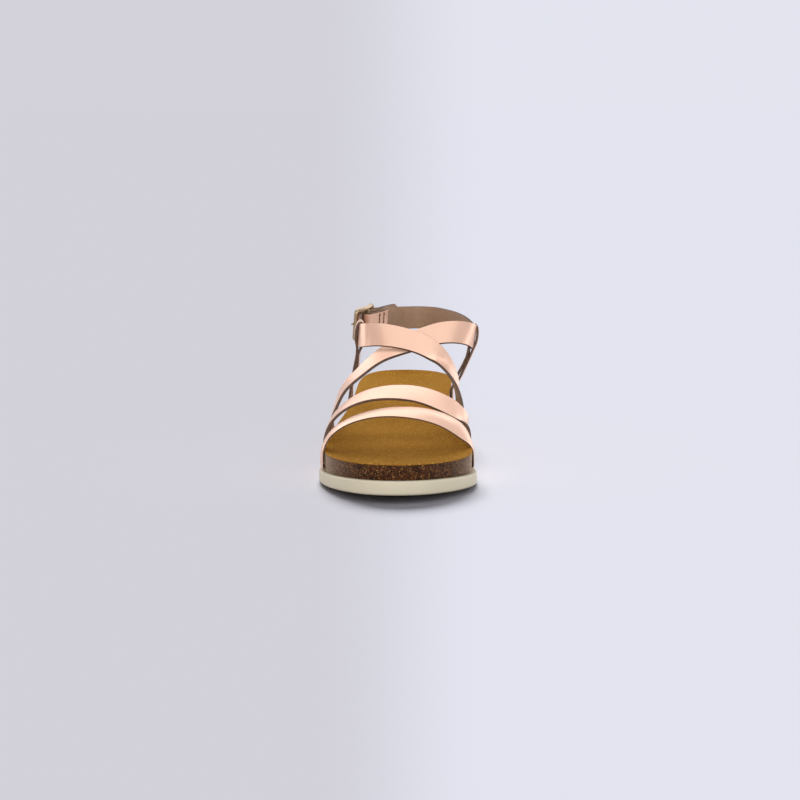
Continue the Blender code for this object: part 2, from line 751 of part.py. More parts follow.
def buckle_prong():
    """Wire hooked round the centre bar, out through the strap's hole and forward over the front bar."""
    hook = BUCKLE_BAR + GAP + PRONG_RADIUS
    angles = np.radians(range(-20, -181, -32))
    path = [(hook * math.cos(a), 0.0, hook * math.sin(a) - BUCKLE_ARCH) for a in angles]
    path += [(-hook, 0.0, 0.0), (-hook, 0.0, 2.0)] + [(w.forward, 0.0, w.outward) for w in PRONG_ARCH]
    path += [(BUCKLE_HALF_LENGTH, 0.0, hook),
             (BUCKLE_HALF_LENGTH + PRONG_TIP.forward, 0.0, hook + PRONG_TIP.outward)]
    return tube("buckle_prong", path, PRONG_RADIUS, False)


def main():
    """Build every piece and hang it on an empty that puts the origin under the middle of the sandal."""
    for thing in list(bpy.data.objects):
        bpy.data.objects.remove(thing, do_unlink=True)
    pieces = [outsole(), cork_midsole(), insole(), upper(),
              stay("stay_lateral", -1, STAY_LATERAL, ankle_rows()),
              stay("stay_medial", 1, STAY_MEDIAL, instep_rows()),
              buckle_frame(), buckle_prong()]
    places = np.array([tuple(v.co) for piece in pieces for v in piece.data.vertices])
    middle = (places.min(axis=0) + places.max(axis=0)) / 2
    sandal = bpy.data.objects.new("sandal", None)
    bpy.context.scene.collection.objects.link(sandal)
    shift = Matrix.Translation((-middle[0], -middle[1], 0.0))
    sandal.matrix_world = shift
    for thing in bpy.data.objects:
        if thing is not sandal:
            thing.parent = sandal


main()
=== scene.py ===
"""Looks of a right-foot leather sandal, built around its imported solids.

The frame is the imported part's: metres, +X the inner side of the foot, -Y the toe, +Z up. The tables are in
millimetres, from before the part was centred across. Stations run from the back of the heel to the toe's tip.
"""
from __future__ import annotations

import logging
import math
from dataclasses import dataclass
from enum import Enum, IntEnum
from typing import Callable, NamedTuple, Sequence, Union

import bmesh
import bpy
import numpy as np
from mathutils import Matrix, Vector

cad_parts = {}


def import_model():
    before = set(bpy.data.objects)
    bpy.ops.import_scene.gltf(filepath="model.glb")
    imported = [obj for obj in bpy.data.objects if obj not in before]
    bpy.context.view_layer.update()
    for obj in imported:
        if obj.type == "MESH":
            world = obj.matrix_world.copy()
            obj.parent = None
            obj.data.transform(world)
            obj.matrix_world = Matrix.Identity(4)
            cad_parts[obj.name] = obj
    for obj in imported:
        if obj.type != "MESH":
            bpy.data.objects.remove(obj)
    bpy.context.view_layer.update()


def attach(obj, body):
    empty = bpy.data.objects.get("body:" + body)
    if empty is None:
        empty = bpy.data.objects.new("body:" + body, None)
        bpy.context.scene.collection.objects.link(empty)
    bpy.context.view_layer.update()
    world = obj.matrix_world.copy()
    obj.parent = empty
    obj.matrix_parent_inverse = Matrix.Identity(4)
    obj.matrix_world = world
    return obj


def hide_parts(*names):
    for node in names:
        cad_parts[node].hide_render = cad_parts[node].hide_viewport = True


LOG = logging.getLogger("sandal")
MM = 0.001
CENTRING = np.array([-1.557, 0.0, 0.0])
GAP = 0.3
STRAP_WIDTH = 15.0
STRAP_THICKNESS = 2.0

Triple = tuple[float, float, float]
Value = Union[bpy.types.NodeSocket, float, tuple]
Fill = Callable[["Graph", bpy.types.Node, bpy.types.Node], None]
Height = Callable[[np.ndarray, np.ndarray], np.ndarray]
Level = tuple[float, Height]


class Edge(NamedTuple):
    """Half-widths of the outsole on both sides of its long axis."""
    station: float
    lateral: float
    medial: float


class Plate(NamedTuple):
    """Thickness of the outsole at a station."""
    station: float
    thickness: float


class Bed(NamedTuple):
    """Heights of the footbed at a station, and the power of the curve from centre to rim."""
    station: float
    centre: float
    lateral: float
    medial: float
    fullness: float


class Lay(NamedTuple):
    """One row of a free strap: the middle of its outer face, and how its width rises and flares."""
    x: float
    station: float
    height: float
    rise: float
    flare: float = 0.0


class Weave(NamedTuple):
    """One row of a strap inside the buckle: forward and outward places of its outer face."""
    forward: float
    outward: float


class Row(NamedTuple):
    """One section of a strap: the middle of its outer face, the way across, width and thickness."""
    point: np.ndarray
    across: np.ndarray
    width: float = STRAP_WIDTH
    thickness: float = STRAP_THICKNESS


class Loop(NamedTuple):
    """One row of a stay's loop: places up and out from the middle of the strap inside it."""
    up: float
    out: float


class Crease(NamedTuple):
    """A soft trough across a strap, near a place on it."""
    x: float
    station: float
    height: float
    depth: float
    spread: float


class Side(IntEnum):
    """Side of the foot, as the sign of X."""
    LATERAL = -1
    MEDIAL = 1


class Face(IntEnum):
    """Which material a strap's face takes."""
    OUTER = 0
    EDGE = 1
    LINING = 2


# Shared geometry


def smooth(knots: Sequence[float], values: Sequence, at: Sequence[float]) -> np.ndarray:
    """Cubic curve through values at knots, whose slope at a knot comes from its two neighbours.

    Args:
        knots: Places of the values, rising.
        values: One number or one row of numbers per knot.
        at: Places to read.

    Returns:
        One row of numbers per place.
    """
    knots = np.asarray(knots, float)
    values = np.asarray(values, float).reshape(len(knots), -1)
    at = np.atleast_1d(np.asarray(at, float))
    step = np.diff(knots)[:, None]
    slope = np.diff(values, axis=0) / step
    inner = (slope[:-1] * step[1:] + slope[1:] * step[:-1]) / (step[:-1] + step[1:])
    first = 1.5 * slope[:1] - 0.5 * inner[:1]
    last = 1.5 * slope[-1:] - 0.5 * inner[-1:]
    tangent = np.vstack((first, inner, last))
    i = np.clip(np.searchsorted(knots, at, side="right") - 1, 0, len(step) - 1)
    h = step[i]
    t = (at - knots[i])[:, None] / h
    rise = t * t * (3 - 2 * t)
    sway = h * t * (1 - t) * (tangent[i] * (1 - t) - tangent[i + 1] * t)
    return values[i] + (values[i + 1] - values[i]) * rise + sway


def unit(vector: np.ndarray) -> np.ndarray:
    """The vector, or each row of an array, at length 1."""
    vector = np.asarray(vector, float)
    return vector / np.linalg.norm(vector, axis=-1, keepdims=True)


def soften(values: np.ndarray, spread: float) -> np.ndarray:
    """Blur rows of numbers along their order.

    Args:
        values: One row per place.
        spread: Standard deviation, in rows.

    Returns:
        The blurred rows, with the ends held.
    """
    reach = max(1, math.ceil(3 * spread))
    weights = np.exp(-0.5 * (np.arange(-reach, reach + 1) / spread) ** 2)
    weights /= weights.sum()
    padded = np.pad(values, ((reach, reach), (0, 0)), mode="edge")
    return np.stack([np.convolve(column, weights, mode="valid") for column in padded.T], axis=1)


def make_piece(name: str, points: Sequence, faces: Sequence, materials: Sequence[bpy.types.Material],
               kinds: Sequence[int] = (), sharp_deg: float = 50.0) -> bpy.types.Object:
    """Mesh object that rides on the sandal's one body.

    Args:
        name: Piece name.
        points: Places in millimetres.
        faces: Corner numbers of each face.
        materials: Materials of the piece.
        kinds: Material number of each face, or nothing for the first one.
        sharp_deg: Edges that bend more than this stay sharp.

    Returns:
        The object, with its faces turned outward.
    """
    mesh = bpy.data.meshes.new(name)
    mesh.from_pydata([tuple((np.asarray(p, float) + CENTRING) * MM) for p in points], [], faces)
    for made in materials:
        mesh.materials.append(made)
    if len(kinds):
        mesh.polygons.foreach_set("material_index", np.asarray(kinds, np.int32))
    work = bmesh.new()
    work.from_mesh(mesh)
    bmesh.ops.recalc_face_normals(work, faces=work.faces)
    work.to_mesh(mesh)
    work.free()
    mesh.shade_smooth()
    mesh.set_sharp_from_angle(angle=math.radians(sharp_deg))
    piece = bpy.data.objects.new(name, mesh)
    bpy.context.scene.collection.objects.link(piece)
    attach(piece, "root")
    return piece


def punch(piece: bpy.types.Object, cutters: Sequence[bpy.types.Object]) -> None:
    """Cut holes in a piece for good, and remove the cutters.

    Args:
        piece: What is cut.
        cutters: Closed meshes, whose materials are the piece's own.
    """
    for cutter in cutters:
        modifier = piece.modifiers.new(cutter.name, "BOOLEAN")
        modifier.object = cutter
        modifier.operation = "DIFFERENCE"
        modifier.solver = "EXACT"
    bpy.context.view_layer.update()
    cut = bpy.data.meshes.new_from_object(piece.evaluated_get(bpy.context.evaluated_depsgraph_get()))
    piece.modifiers.clear()
    piece.data = cut
    for cutter in cutters:
        bpy.data.objects.remove(cutter, do_unlink=True)


# Materials


class Graph:
    """Short hand for the nodes of one tree."""
    MIX_SHARE = 0
    MIX_FIRST = 6
    MIX_SECOND = 7
    MIX_RESULT = 2

    def __init__(self, tree: bpy.types.NodeTree) -> None:
        """Keep the tree at hand."""
        self.tree = tree

    def feed(self, socket: bpy.types.NodeSocket, value: Value) -> None:
        """Link a socket to an input, or set the input's own value.

        Args:
            socket: The input.
            value: A socket, a number, a vector or a colour.
        """
        if isinstance(value, bpy.types.NodeSocket):
            self.tree.links.new(value, socket)
        else:
            socket.default_value = value

    def node(self, kind: str, inputs: dict[str | int, Value] | None = None,
             **settings: str | bool | bpy.types.NodeTree) -> bpy.types.Node:
        """Add a node.

        Args:
            kind: Blender's name of the node type.
            inputs: Values or sockets for its inputs, by name or number.
            settings: Properties of the node.

        Returns:
            The node.
        """
        made = self.tree.nodes.new(kind)
        for key, value in settings.items():
            setattr(made, key, value)
        for key, value in (inputs or {}).items():
            self.feed(made.inputs[key], value)
        return made

    def group(self, tree: bpy.types.NodeTree, **inputs: Value) -> bpy.types.Node:
        """Place a node group, with values or sockets by the names of its inputs."""
        return self.node("ShaderNodeGroup", inputs, node_tree=tree)

    def ramp(self, value: bpy.types.NodeSocket,
             stops: Sequence[tuple[float, Triple]]) -> bpy.types.NodeSocket:
        """Colour by a value.

        Args:
            value: Socket with the value.
            stops: Places and linear colours.

        Returns:
            The colour's socket.
        """
        made = self.node("ShaderNodeValToRGB", {0: value})
        elements = made.color_ramp.elements
        while len(elements) < len(stops):
            elements.new(1.0)
        for element, (place, colour) in zip(elements, stops):
            element.position = place
            element.color = (*colour, 1.0)
        return made.outputs["Color"]

    def mix(self, share: Value, first: Value, second: Value) -> bpy.types.NodeSocket:
        """Blend two colours.

        Args:
            share: Socket or number, 0 for the first colour.
            first: Socket or linear colour.
            second: Socket or linear colour.

        Returns:
            The colour's socket.
        """
        made = self.node("ShaderNodeMix", data_type="RGBA")
        for number, value in ((self.MIX_SHARE, share), (self.MIX_FIRST, first), (self.MIX_SECOND, second)):
            self.feed(made.inputs[number], (*value, 1.0) if isinstance(value, tuple) else value)
        return made.outputs[self.MIX_RESULT]

    def span(self, value: bpy.types.NodeSocket, low: float, high: float, start: float = 0.0,
             end: float = 1.0) -> bpy.types.NodeSocket:
        """Map a value from one range to another.

        Args:
            value: Socket with the value.
            low: Result at start.
            high: Result at end.
            start: Value that gives low.
            end: Value that gives high.

        Returns:
            The result's socket.
        """
        return self.node("ShaderNodeMapRange", {0: value, 1: start, 2: end, 3: low, 4: high}).outputs[0]

    def math(self, operation: str, first: Value, second: Value = 0.0) -> bpy.types.NodeSocket:
        """Arithmetic on sockets or numbers, by Blender's name of the operation."""
        return self.node("ShaderNodeMath", {0: first, 1: second}, operation=operation).outputs[0]

    def vector(self, operation: str, first: Value, second: Value) -> bpy.types.NodeSocket:
        """Arithmetic on vectors, by Blender's name of the operation."""
        return self.node("ShaderNodeVectorMath", {0: first, 1: second}, operation=operation).outputs[0]

    def place(self) -> bpy.types.NodeSocket:
        """Socket with the place on the piece, in metres."""
        return self.node("ShaderNodeTexCoord").outputs["Object"]


def shared_group(name: str, floats: dict[str, float], outputs: dict[str, str], fill: Fill,
                 vectors: Sequence[str] = ()) -> bpy.types.NodeTree:
    """A node group, built the first time that it is asked for.

    Args:
        name: Group name.
        floats: Default of each number that it takes.
        outputs: Socket type of each result.
        fill: What adds its nodes, between its input node and its output node.
        vectors: Names of the vectors that it takes.

    Returns:
        The group.
    """
    if name in bpy.data.node_groups:
        return bpy.data.node_groups[name]
    tree = bpy.data.node_groups.new(name, "ShaderNodeTree")
    for key, value in floats.items():
        tree.interface.new_socket(key, in_out="INPUT", socket_type="NodeSocketFloat").default_value = value
    for key in vectors:
        tree.interface.new_socket(key, in_out="INPUT", socket_type="NodeSocketVector")
    for key, kind in outputs.items():
        tree.interface.new_socket(key, in_out="OUTPUT", socket_type=kind)
    graph = Graph(tree)
    fill(graph, graph.node("NodeGroupInput"), graph.node("NodeGroupOutput"))
    return tree


class Effect:
    """Node groups that several materials share."""
    CLOUD_DETAIL = 5.0
    CLOUD_ROUGHNESS = 0.6
    SWAY_SCALE = 900.0
    SWAY_DETAIL = 2.0
    SEAM_WIDTH = 0.12
    CHIP_RIM = (0.02, 0.10)
    SWELL_DETAIL = 3.0

    @classmethod
    def mottle(cls) -> bpy.types.NodeTree:
        """Soft uneven tone, at a cloud size given in lengths per metre.

        Returns:
            The group, with a Tone from 0 to 1.
        """
        def fill(graph: Graph, taken: bpy.types.Node, given: bpy.types.Node) -> None:
            """Noise, stretched about its middle tone.

            Args:
                graph: The group's graph.
                taken: Its input node.
                given: Its output node.
            """
            moved = graph.vector("ADD", graph.place(), taken.outputs["Shift"])
            noise = graph.node("ShaderNodeTexNoise", {
                "Vector": moved, "Scale": taken.outputs["Scale"], "Detail": cls.CLOUD_DETAIL,
                "Roughness": cls.CLOUD_ROUGHNESS})
            centred = graph.math("SUBTRACT", noise.outputs[0], 0.5)
            spread = graph.math("MULTIPLY", centred, taken.outputs["Contrast"])
            tone = graph.node("ShaderNodeMath", {0: spread, 1: 0.5}, operation="ADD", use_clamp=True)
            graph.feed(given.inputs["Tone"], tone.outputs[0])

        takes = {"Scale": 100.0, "Contrast": 1.5, "Shift": 0.0}
        return shared_group("mottle", takes, {"Tone": "NodeSocketFloat"}, fill)

    @classmethod
    def granules(cls) -> bpy.types.NodeTree:
        """Packed grains: a random tone per grain, the seams between them, and a share of grains picked out.

        Returns:
            The group, with Tone, Seam and Picked from 0 to 1.
        """
        def fill(graph: Graph, taken: bpy.types.Node, given: bpy.types.Node) -> None:
            """Cells with bent borders.

            Args:
                graph: The group's graph.
                taken: Its input node.
                given: Its output node.
            """
            place = graph.place()
            sway = graph.node("ShaderNodeTexNoise", {
                "Vector": place, "Scale": cls.SWAY_SCALE, "Detail": cls.SWAY_DETAIL})
            centred = graph.vector("SUBTRACT", sway.outputs["Color"], (0.5, 0.5, 0.5))
            bent = graph.node("ShaderNodeVectorMath", {0: centred, "Scale": taken.outputs["Warp"]},
                              operation="SCALE")
            cell = {"Vector": graph.vector("ADD", place, bent.outputs[0]), "Scale": taken.outputs["Scale"]}
            cells = graph.node("ShaderNodeTexVoronoi", cell)
            rims = graph.node("ShaderNodeTexVoronoi", cell, feature="DISTANCE_TO_EDGE").outputs["Distance"]
            split = graph.node("ShaderNodeSeparateColor", {0: cells.outputs["Color"]})
            inside = graph.span(rims, 0.0, 1.0, *cls.CHIP_RIM)
            chosen = graph.math("LESS_THAN", split.outputs[1], taken.outputs["Share"])
            graph.feed(given.inputs["Tone"], split.outputs[0])
            graph.feed(given.inputs["Seam"], graph.span(rims, 1.0, 0.0, 0.0, cls.SEAM_WIDTH))
            graph.feed(given.inputs["Picked"], graph.math("MULTIPLY", chosen, inside))

        takes = {"Scale": 1000.0, "Share": 0.1, "Warp": 0.0003}
        gives = {key: "NodeSocketFloat" for key in ("Tone", "Seam", "Picked")}
        return shared_group("granules", takes, gives, fill)

    @classmethod
    def hide(cls) -> bpy.types.NodeTree:
        """Relief of leather: fine pebbles over a slow swell.

        Returns:
            The group, with a Height from 0 up.
        """
        def fill(graph: Graph, taken: bpy.types.Node, given: bpy.types.Node) -> None:
            """Soft cells and a noise.

            Args:
                graph: The group's graph.
                taken: Its input node.
                given: Its output node.
            """
            place = graph.place()
            pebble = graph.node("ShaderNodeTexVoronoi", {"Vector": place, "Scale": taken.outputs["Pebble"]},
                                feature="SMOOTH_F1")
            swell = graph.node("ShaderNodeTexNoise", {
                "Vector": place, "Scale": taken.outputs["Swell"], "Detail": cls.SWELL_DETAIL})
            fine = graph.math("SUBTRACT", 1.0, pebble.outputs["Distance"])
            slow = graph.math("MULTIPLY", swell.outputs[0], taken.outputs["Swell Share"])
            graph.feed(given.inputs["Height"], graph.math("ADD", fine, slow))

        takes = {"Pebble": 2600.0, "Swell": 160.0, "Swell Share": 0.5}
        return shared_group("hide", takes, {"Height": "NodeSocketFloat"}, fill)


@dataclass(frozen=True)
class Finish:
    """One surface finish. Colours are linear."""
    name: str
    slot: str
    colour: Triple
    roughness: float
    metallic: float = 0.0

    def start(self) -> tuple[bpy.types.Material, Graph, bpy.types.Node]:
        """Make a material with a plain Principled shader.

        Returns:
            The material, its graph and its shader.
        """
        made = bpy.data.materials.new(self.name)
        made.use_nodes = True
        shader = made.node_tree.nodes["Principled BSDF"]
        shader.inputs["Base Color"].default_value = (*self.colour, 1.0)
        shader.inputs["Roughness"].default_value = self.roughness
        shader.inputs["Metallic"].default_value = self.metallic
        return made, Graph(made.node_tree), shader

    def dress(self, graph: Graph, shader: bpy.types.Node) -> None:
        """Add what the finish shows beyond its plain values."""

    def material(self) -> bpy.types.Material:
        """The finish's material, made once.

        Returns:
            The material.
        """
        if self.name in bpy.data.materials:
            return bpy.data.materials[self.name]
        made, graph, shader = self.start()
        self.dress(graph, shader)
        return made

    @staticmethod
    def tone(graph: Graph, scale: float, contrast: float, shift: float = 0.0) -> bpy.types.NodeSocket:
        """Socket with a mottled tone."""
        return graph.group(Effect.mottle(), Scale=scale, Contrast=contrast, Shift=shift).outputs["Tone"]

    @staticmethod
    def bump(graph: Graph, shader: bpy.types.Node, height: bpy.types.NodeSocket, strength: float,
             depth_mm: float) -> None:
        """Give the shader a relief.

        Args:
            graph: The material's graph.
            shader: Its shader.
            height: Socket with the relief, from 0 to 1.
            strength: Share of the relief that shows.
            depth_mm: Height of the relief.
        """
        relief = {"Height": height, "Strength": strength, "Distance": depth_mm * MM}
        graph.feed(shader.inputs["Normal"], graph.node("ShaderNodeBump", relief).outputs[0])


@dataclass(frozen=True)
class FoiledLeather(Finish):
    """Smooth leather with a pale metallic foil."""
    warm: Triple = (0.86, 0.50, 0.36)
    warm_share: float = 0.35
    smoother: float = 0.05
    rougher: float = 0.06

    def dress(self, graph: Graph, shader: bpy.types.Node) -> None:
        """Uneven foil tone, a soft gloss and fine pebbles.

        Args:
            graph: The material's graph.
            shader: Its shader.
        """
        cloud = self.tone(graph, scale=70.0, contrast=2.0)
        fine = self.tone(graph, scale=900.0, contrast=2.5, shift=3.0)
        warmth = graph.math("MULTIPLY", cloud, self.warm_share)
        graph.feed(shader.inputs["Base Color"], graph.mix(warmth, self.colour, self.warm))
        gloss = graph.span(fine, self.roughness - self.smoother, self.roughness + self.rougher)
        graph.feed(shader.inputs["Roughness"], gloss)
        pebbles = graph.group(Effect.hide()).outputs["Height"]
        self.bump(graph, shader, pebbles, strength=0.25, depth_mm=0.05)


@dataclass(frozen=True)
class RawLeather(Finish):
    """Bare leather: a cut edge or a lining, with fibres and pores."""
    light: Triple = (0.20, 0.12, 0.075)
    depth: float = 0.08

    def dress(self, graph: Graph, shader: bpy.types.Node) -> None:
        """Fibrous tone and relief.

        Args:
            graph: The material's graph.
            shader: Its shader.
        """
        cloud = self.tone(graph, scale=420.0, contrast=2.6, shift=1.0)
        fibre = self.tone(graph, scale=2600.0, contrast=2.4, shift=5.0)
        both = graph.math("MULTIPLY", cloud, fibre)
        graph.feed(shader.inputs["Base Color"], graph.mix(both, self.colour, self.light))
        self.bump(graph, shader, fibre, strength=0.6, depth_mm=self.depth)


@dataclass(frozen=True)
class Suede(Finish):
    """Napped leather in a golden mustard, with painted shade that darkens it towards the toe."""
    dark: Triple = (0.27, 0.115, 0.013)
    light: Triple = (0.78, 0.48, 0.10)
    toe_painted_shade: float = 0.62
    toe_painted_shade_ends: tuple[float, float] = (-0.11, -0.01)
    nap_share: float = 0.4
    fibre_share: float = 0.4
    fleck_share: float = 0.6
    specular: float = 0.1

    def dress(self, graph: Graph, shader: bpy.types.Node) -> None:
        """Brushed patches of nap, painted shade that darkens the base under the toes, and light and dark
        fibres.

        Args:
            graph: The material's graph.
            shader: Its shader.
        """
        nap = self.tone(graph, scale=38.0, contrast=1.1)
        fibre = self.tone(graph, scale=1500.0, contrast=3.2, shift=2.0)
        flecks = graph.group(Effect.granules(), Scale=1500.0, Share=0.12, Warp=0.0006)
        lengthways = graph.node("ShaderNodeSeparateXYZ", {0: graph.place()}).outputs[1]
        # Painted shade: the base colour darkens towards the toe, by the place along the sole; the nap patches
        # are real tone.
        toe_shade = graph.span(lengthways, self.toe_painted_shade, 0.0, *self.toe_painted_shade_ends)
        nap_and_toe_shade = graph.math("ADD", graph.span(nap, 0.0, self.nap_share), toe_shade)
        base = graph.mix(nap_and_toe_shade, self.colour, self.dark)
        toned = graph.mix(graph.math("MULTIPLY", fibre, self.fibre_share), base, self.dark)
        picked = graph.math("MULTIPLY", flecks.outputs["Picked"], self.fleck_share)
        graph.feed(shader.inputs["Base Color"], graph.mix(picked, toned, self.light))
        shader.inputs["Specular IOR Level"].default_value = self.specular
        self.bump(graph, shader, fibre, strength=0.7, depth_mm=0.18)


@dataclass(frozen=True)
class Cork(Finish):
    """Bound cork granules, dark, with light chips."""
    deep: Triple = (0.012, 0.004, 0.001)
    pale: Triple = (0.12, 0.045, 0.010)
    chip: Triple = (0.31, 0.155, 0.05)
    bloom: Triple = (1.0, 0.72, 0.5)
    tone_stops: Triple = (0.15, 0.5, 0.95)
    chip_share: float = 0.8
    seam_share: float = 0.6
    specular: float = 0.1
    lacquer: float = 0.3
    lacquer_ior: float = 1.18
    lacquer_roughness: float = 0.3
    sheen: float = 0.7
    sheen_roughness: float = 0.35

    def dress(self, graph: Graph, shader: bpy.types.Node) -> None:
        """Grains of two sizes, chips, pits between them, and a thin lacquer.

        Args:
            graph: The material's graph.
            shader: Its shader.
        """
        for socket, value in (("Specular IOR Level", self.specular), ("Coat Weight", self.lacquer),
                              ("Coat IOR", self.lacquer_ior), ("Coat Roughness", self.lacquer_roughness),
                              ("Sheen Weight", self.sheen), ("Sheen Roughness", self.sheen_roughness),
                              ("Sheen Tint", (*self.bloom, 1.0))):
            shader.inputs[socket].default_value = value
        large = graph.group(Effect.granules(), Scale=480.0, Share=0.12, Warp=0.0012)
        small = graph.group(Effect.granules(), Scale=1500.0, Share=0.14, Warp=0.0007)
        tone = graph.math("MULTIPLY", graph.math("ADD", large.outputs["Tone"], small.outputs["Tone"]), 0.5)
        base = graph.ramp(tone, tuple(zip(self.tone_stops, (self.deep, self.colour, self.pale))))
        chips = graph.math("MULTIPLY", small.outputs["Picked"], self.chip_share)
        chipped = graph.mix(chips, base, self.chip)
        seams = graph.math("MULTIPLY", large.outputs["Seam"], self.seam_share)
        graph.feed(shader.inputs["Base Color"], graph.mix(seams, chipped, self.deep))
        relief = graph.math("SUBTRACT", small.outputs["Tone"], large.outputs["Seam"])
        self.bump(graph, shader, relief, strength=0.5, depth_mm=0.15)


@dataclass(frozen=True)
class FoamRubber(Finish):
    """Cream moulded foam rubber."""
    dust: Triple = (0.58, 0.51, 0.36)
    dust_share: float = 0.3
    gloss_change: float = 0.06

    def dress(self, graph: Graph, shader: bpy.types.Node) -> None:
        """A slightly clouded cream with a fine moulded skin.

        Args:
            graph: The material's graph.
            shader: Its shader.
        """
        cloud = self.tone(graph, scale=60.0, contrast=2.0, shift=4.0)
        skin = self.tone(graph, scale=1800.0, contrast=2.0, shift=6.0)
        dusty = graph.math("MULTIPLY", cloud, self.dust_share)
        graph.feed(shader.inputs["Base Color"], graph.mix(dusty, self.colour, self.dust))
        gloss = graph.span(skin, self.roughness - self.gloss_change, self.roughness + self.gloss_change)
        graph.feed(shader.inputs["Roughness"], gloss)
        self.bump(graph, shader, skin, strength=0.25, depth_mm=0.05)


@dataclass(frozen=True)
class Gilt(Finish):
    """Gilded metal with fine wear."""
    smoother: float = 0.05
    rougher: float = 0.1

    def dress(self, graph: Graph, shader: bpy.types.Node) -> None:
        """Gloss that varies a little.

        Args:
            graph: The material's graph.
            shader: Its shader.
        """
        wear = self.tone(graph, scale=300.0, contrast=2.4)
        gloss = graph.span(wear, self.roughness - self.smoother, self.roughness + self.rougher)
        graph.feed(shader.inputs["Roughness"], gloss)
        self.bump(graph, shader, wear, strength=0.15, depth_mm=0.03)


@dataclass(frozen=True)
class Thread(Finish):
    """Twisted sewing thread."""
    dark: Triple = (0.08, 0.04, 0.02)
    dark_share: float = 0.4

    def dress(self, graph: Graph, shader: bpy.types.Node) -> None:
        """Fine twist in the tone and the relief.

        Args:
            graph: The material's graph.
            shader: Its shader.
        """
        twist = self.tone(graph, scale=3500.0, contrast=2.5)
        shade = graph.math("MULTIPLY", twist, self.dark_share)
        graph.feed(shader.inputs["Base Color"], graph.mix(shade, self.colour, self.dark))
        self.bump(graph, shader, twist, strength=0.5, depth_mm=0.08)


class Finishes(Enum):
    """The sandal's finishes: name, material slot, colour, roughness and, if it has one, metallic value."""
    ROSE = FoiledLeather("rose_foiled_leather", "rose_leather", (0.90, 0.58, 0.42), 0.32, 0.4)
    CUT = RawLeather("cut_leather_edge", "rose_leather", (0.085, 0.046, 0.028), 0.75)
    LINING = RawLeather("taupe_lining", "rose_leather", (0.33, 0.20, 0.12), 0.7,
                        light=(0.47, 0.31, 0.19), depth=0.04)
    SUEDE = Suede("mustard_suede_nap", "mustard_suede", (0.61, 0.30, 0.042), 0.95)
    CORK = Cork("dark_bound_cork", "cork", (0.053, 0.014, 0.002), 0.6)
    SOLE = FoamRubber("cream_foam_rubber", "cream_sole", (0.63, 0.563, 0.408), 0.55)
    GILT = Gilt("worn_gilt", "gilt", (0.46, 0.35, 0.22), 0.33, 1.0)
    THREAD = Thread("sewing_thread", "rose_leather", (0.15, 0.08, 0.04), 0.8)

    def material(self) -> bpy.types.Material:
        """The finish's material."""
        return self.value.material()


STRAP_FINISHES = (Finishes.ROSE, Finishes.CUT, Finishes.LINING)


# Sole


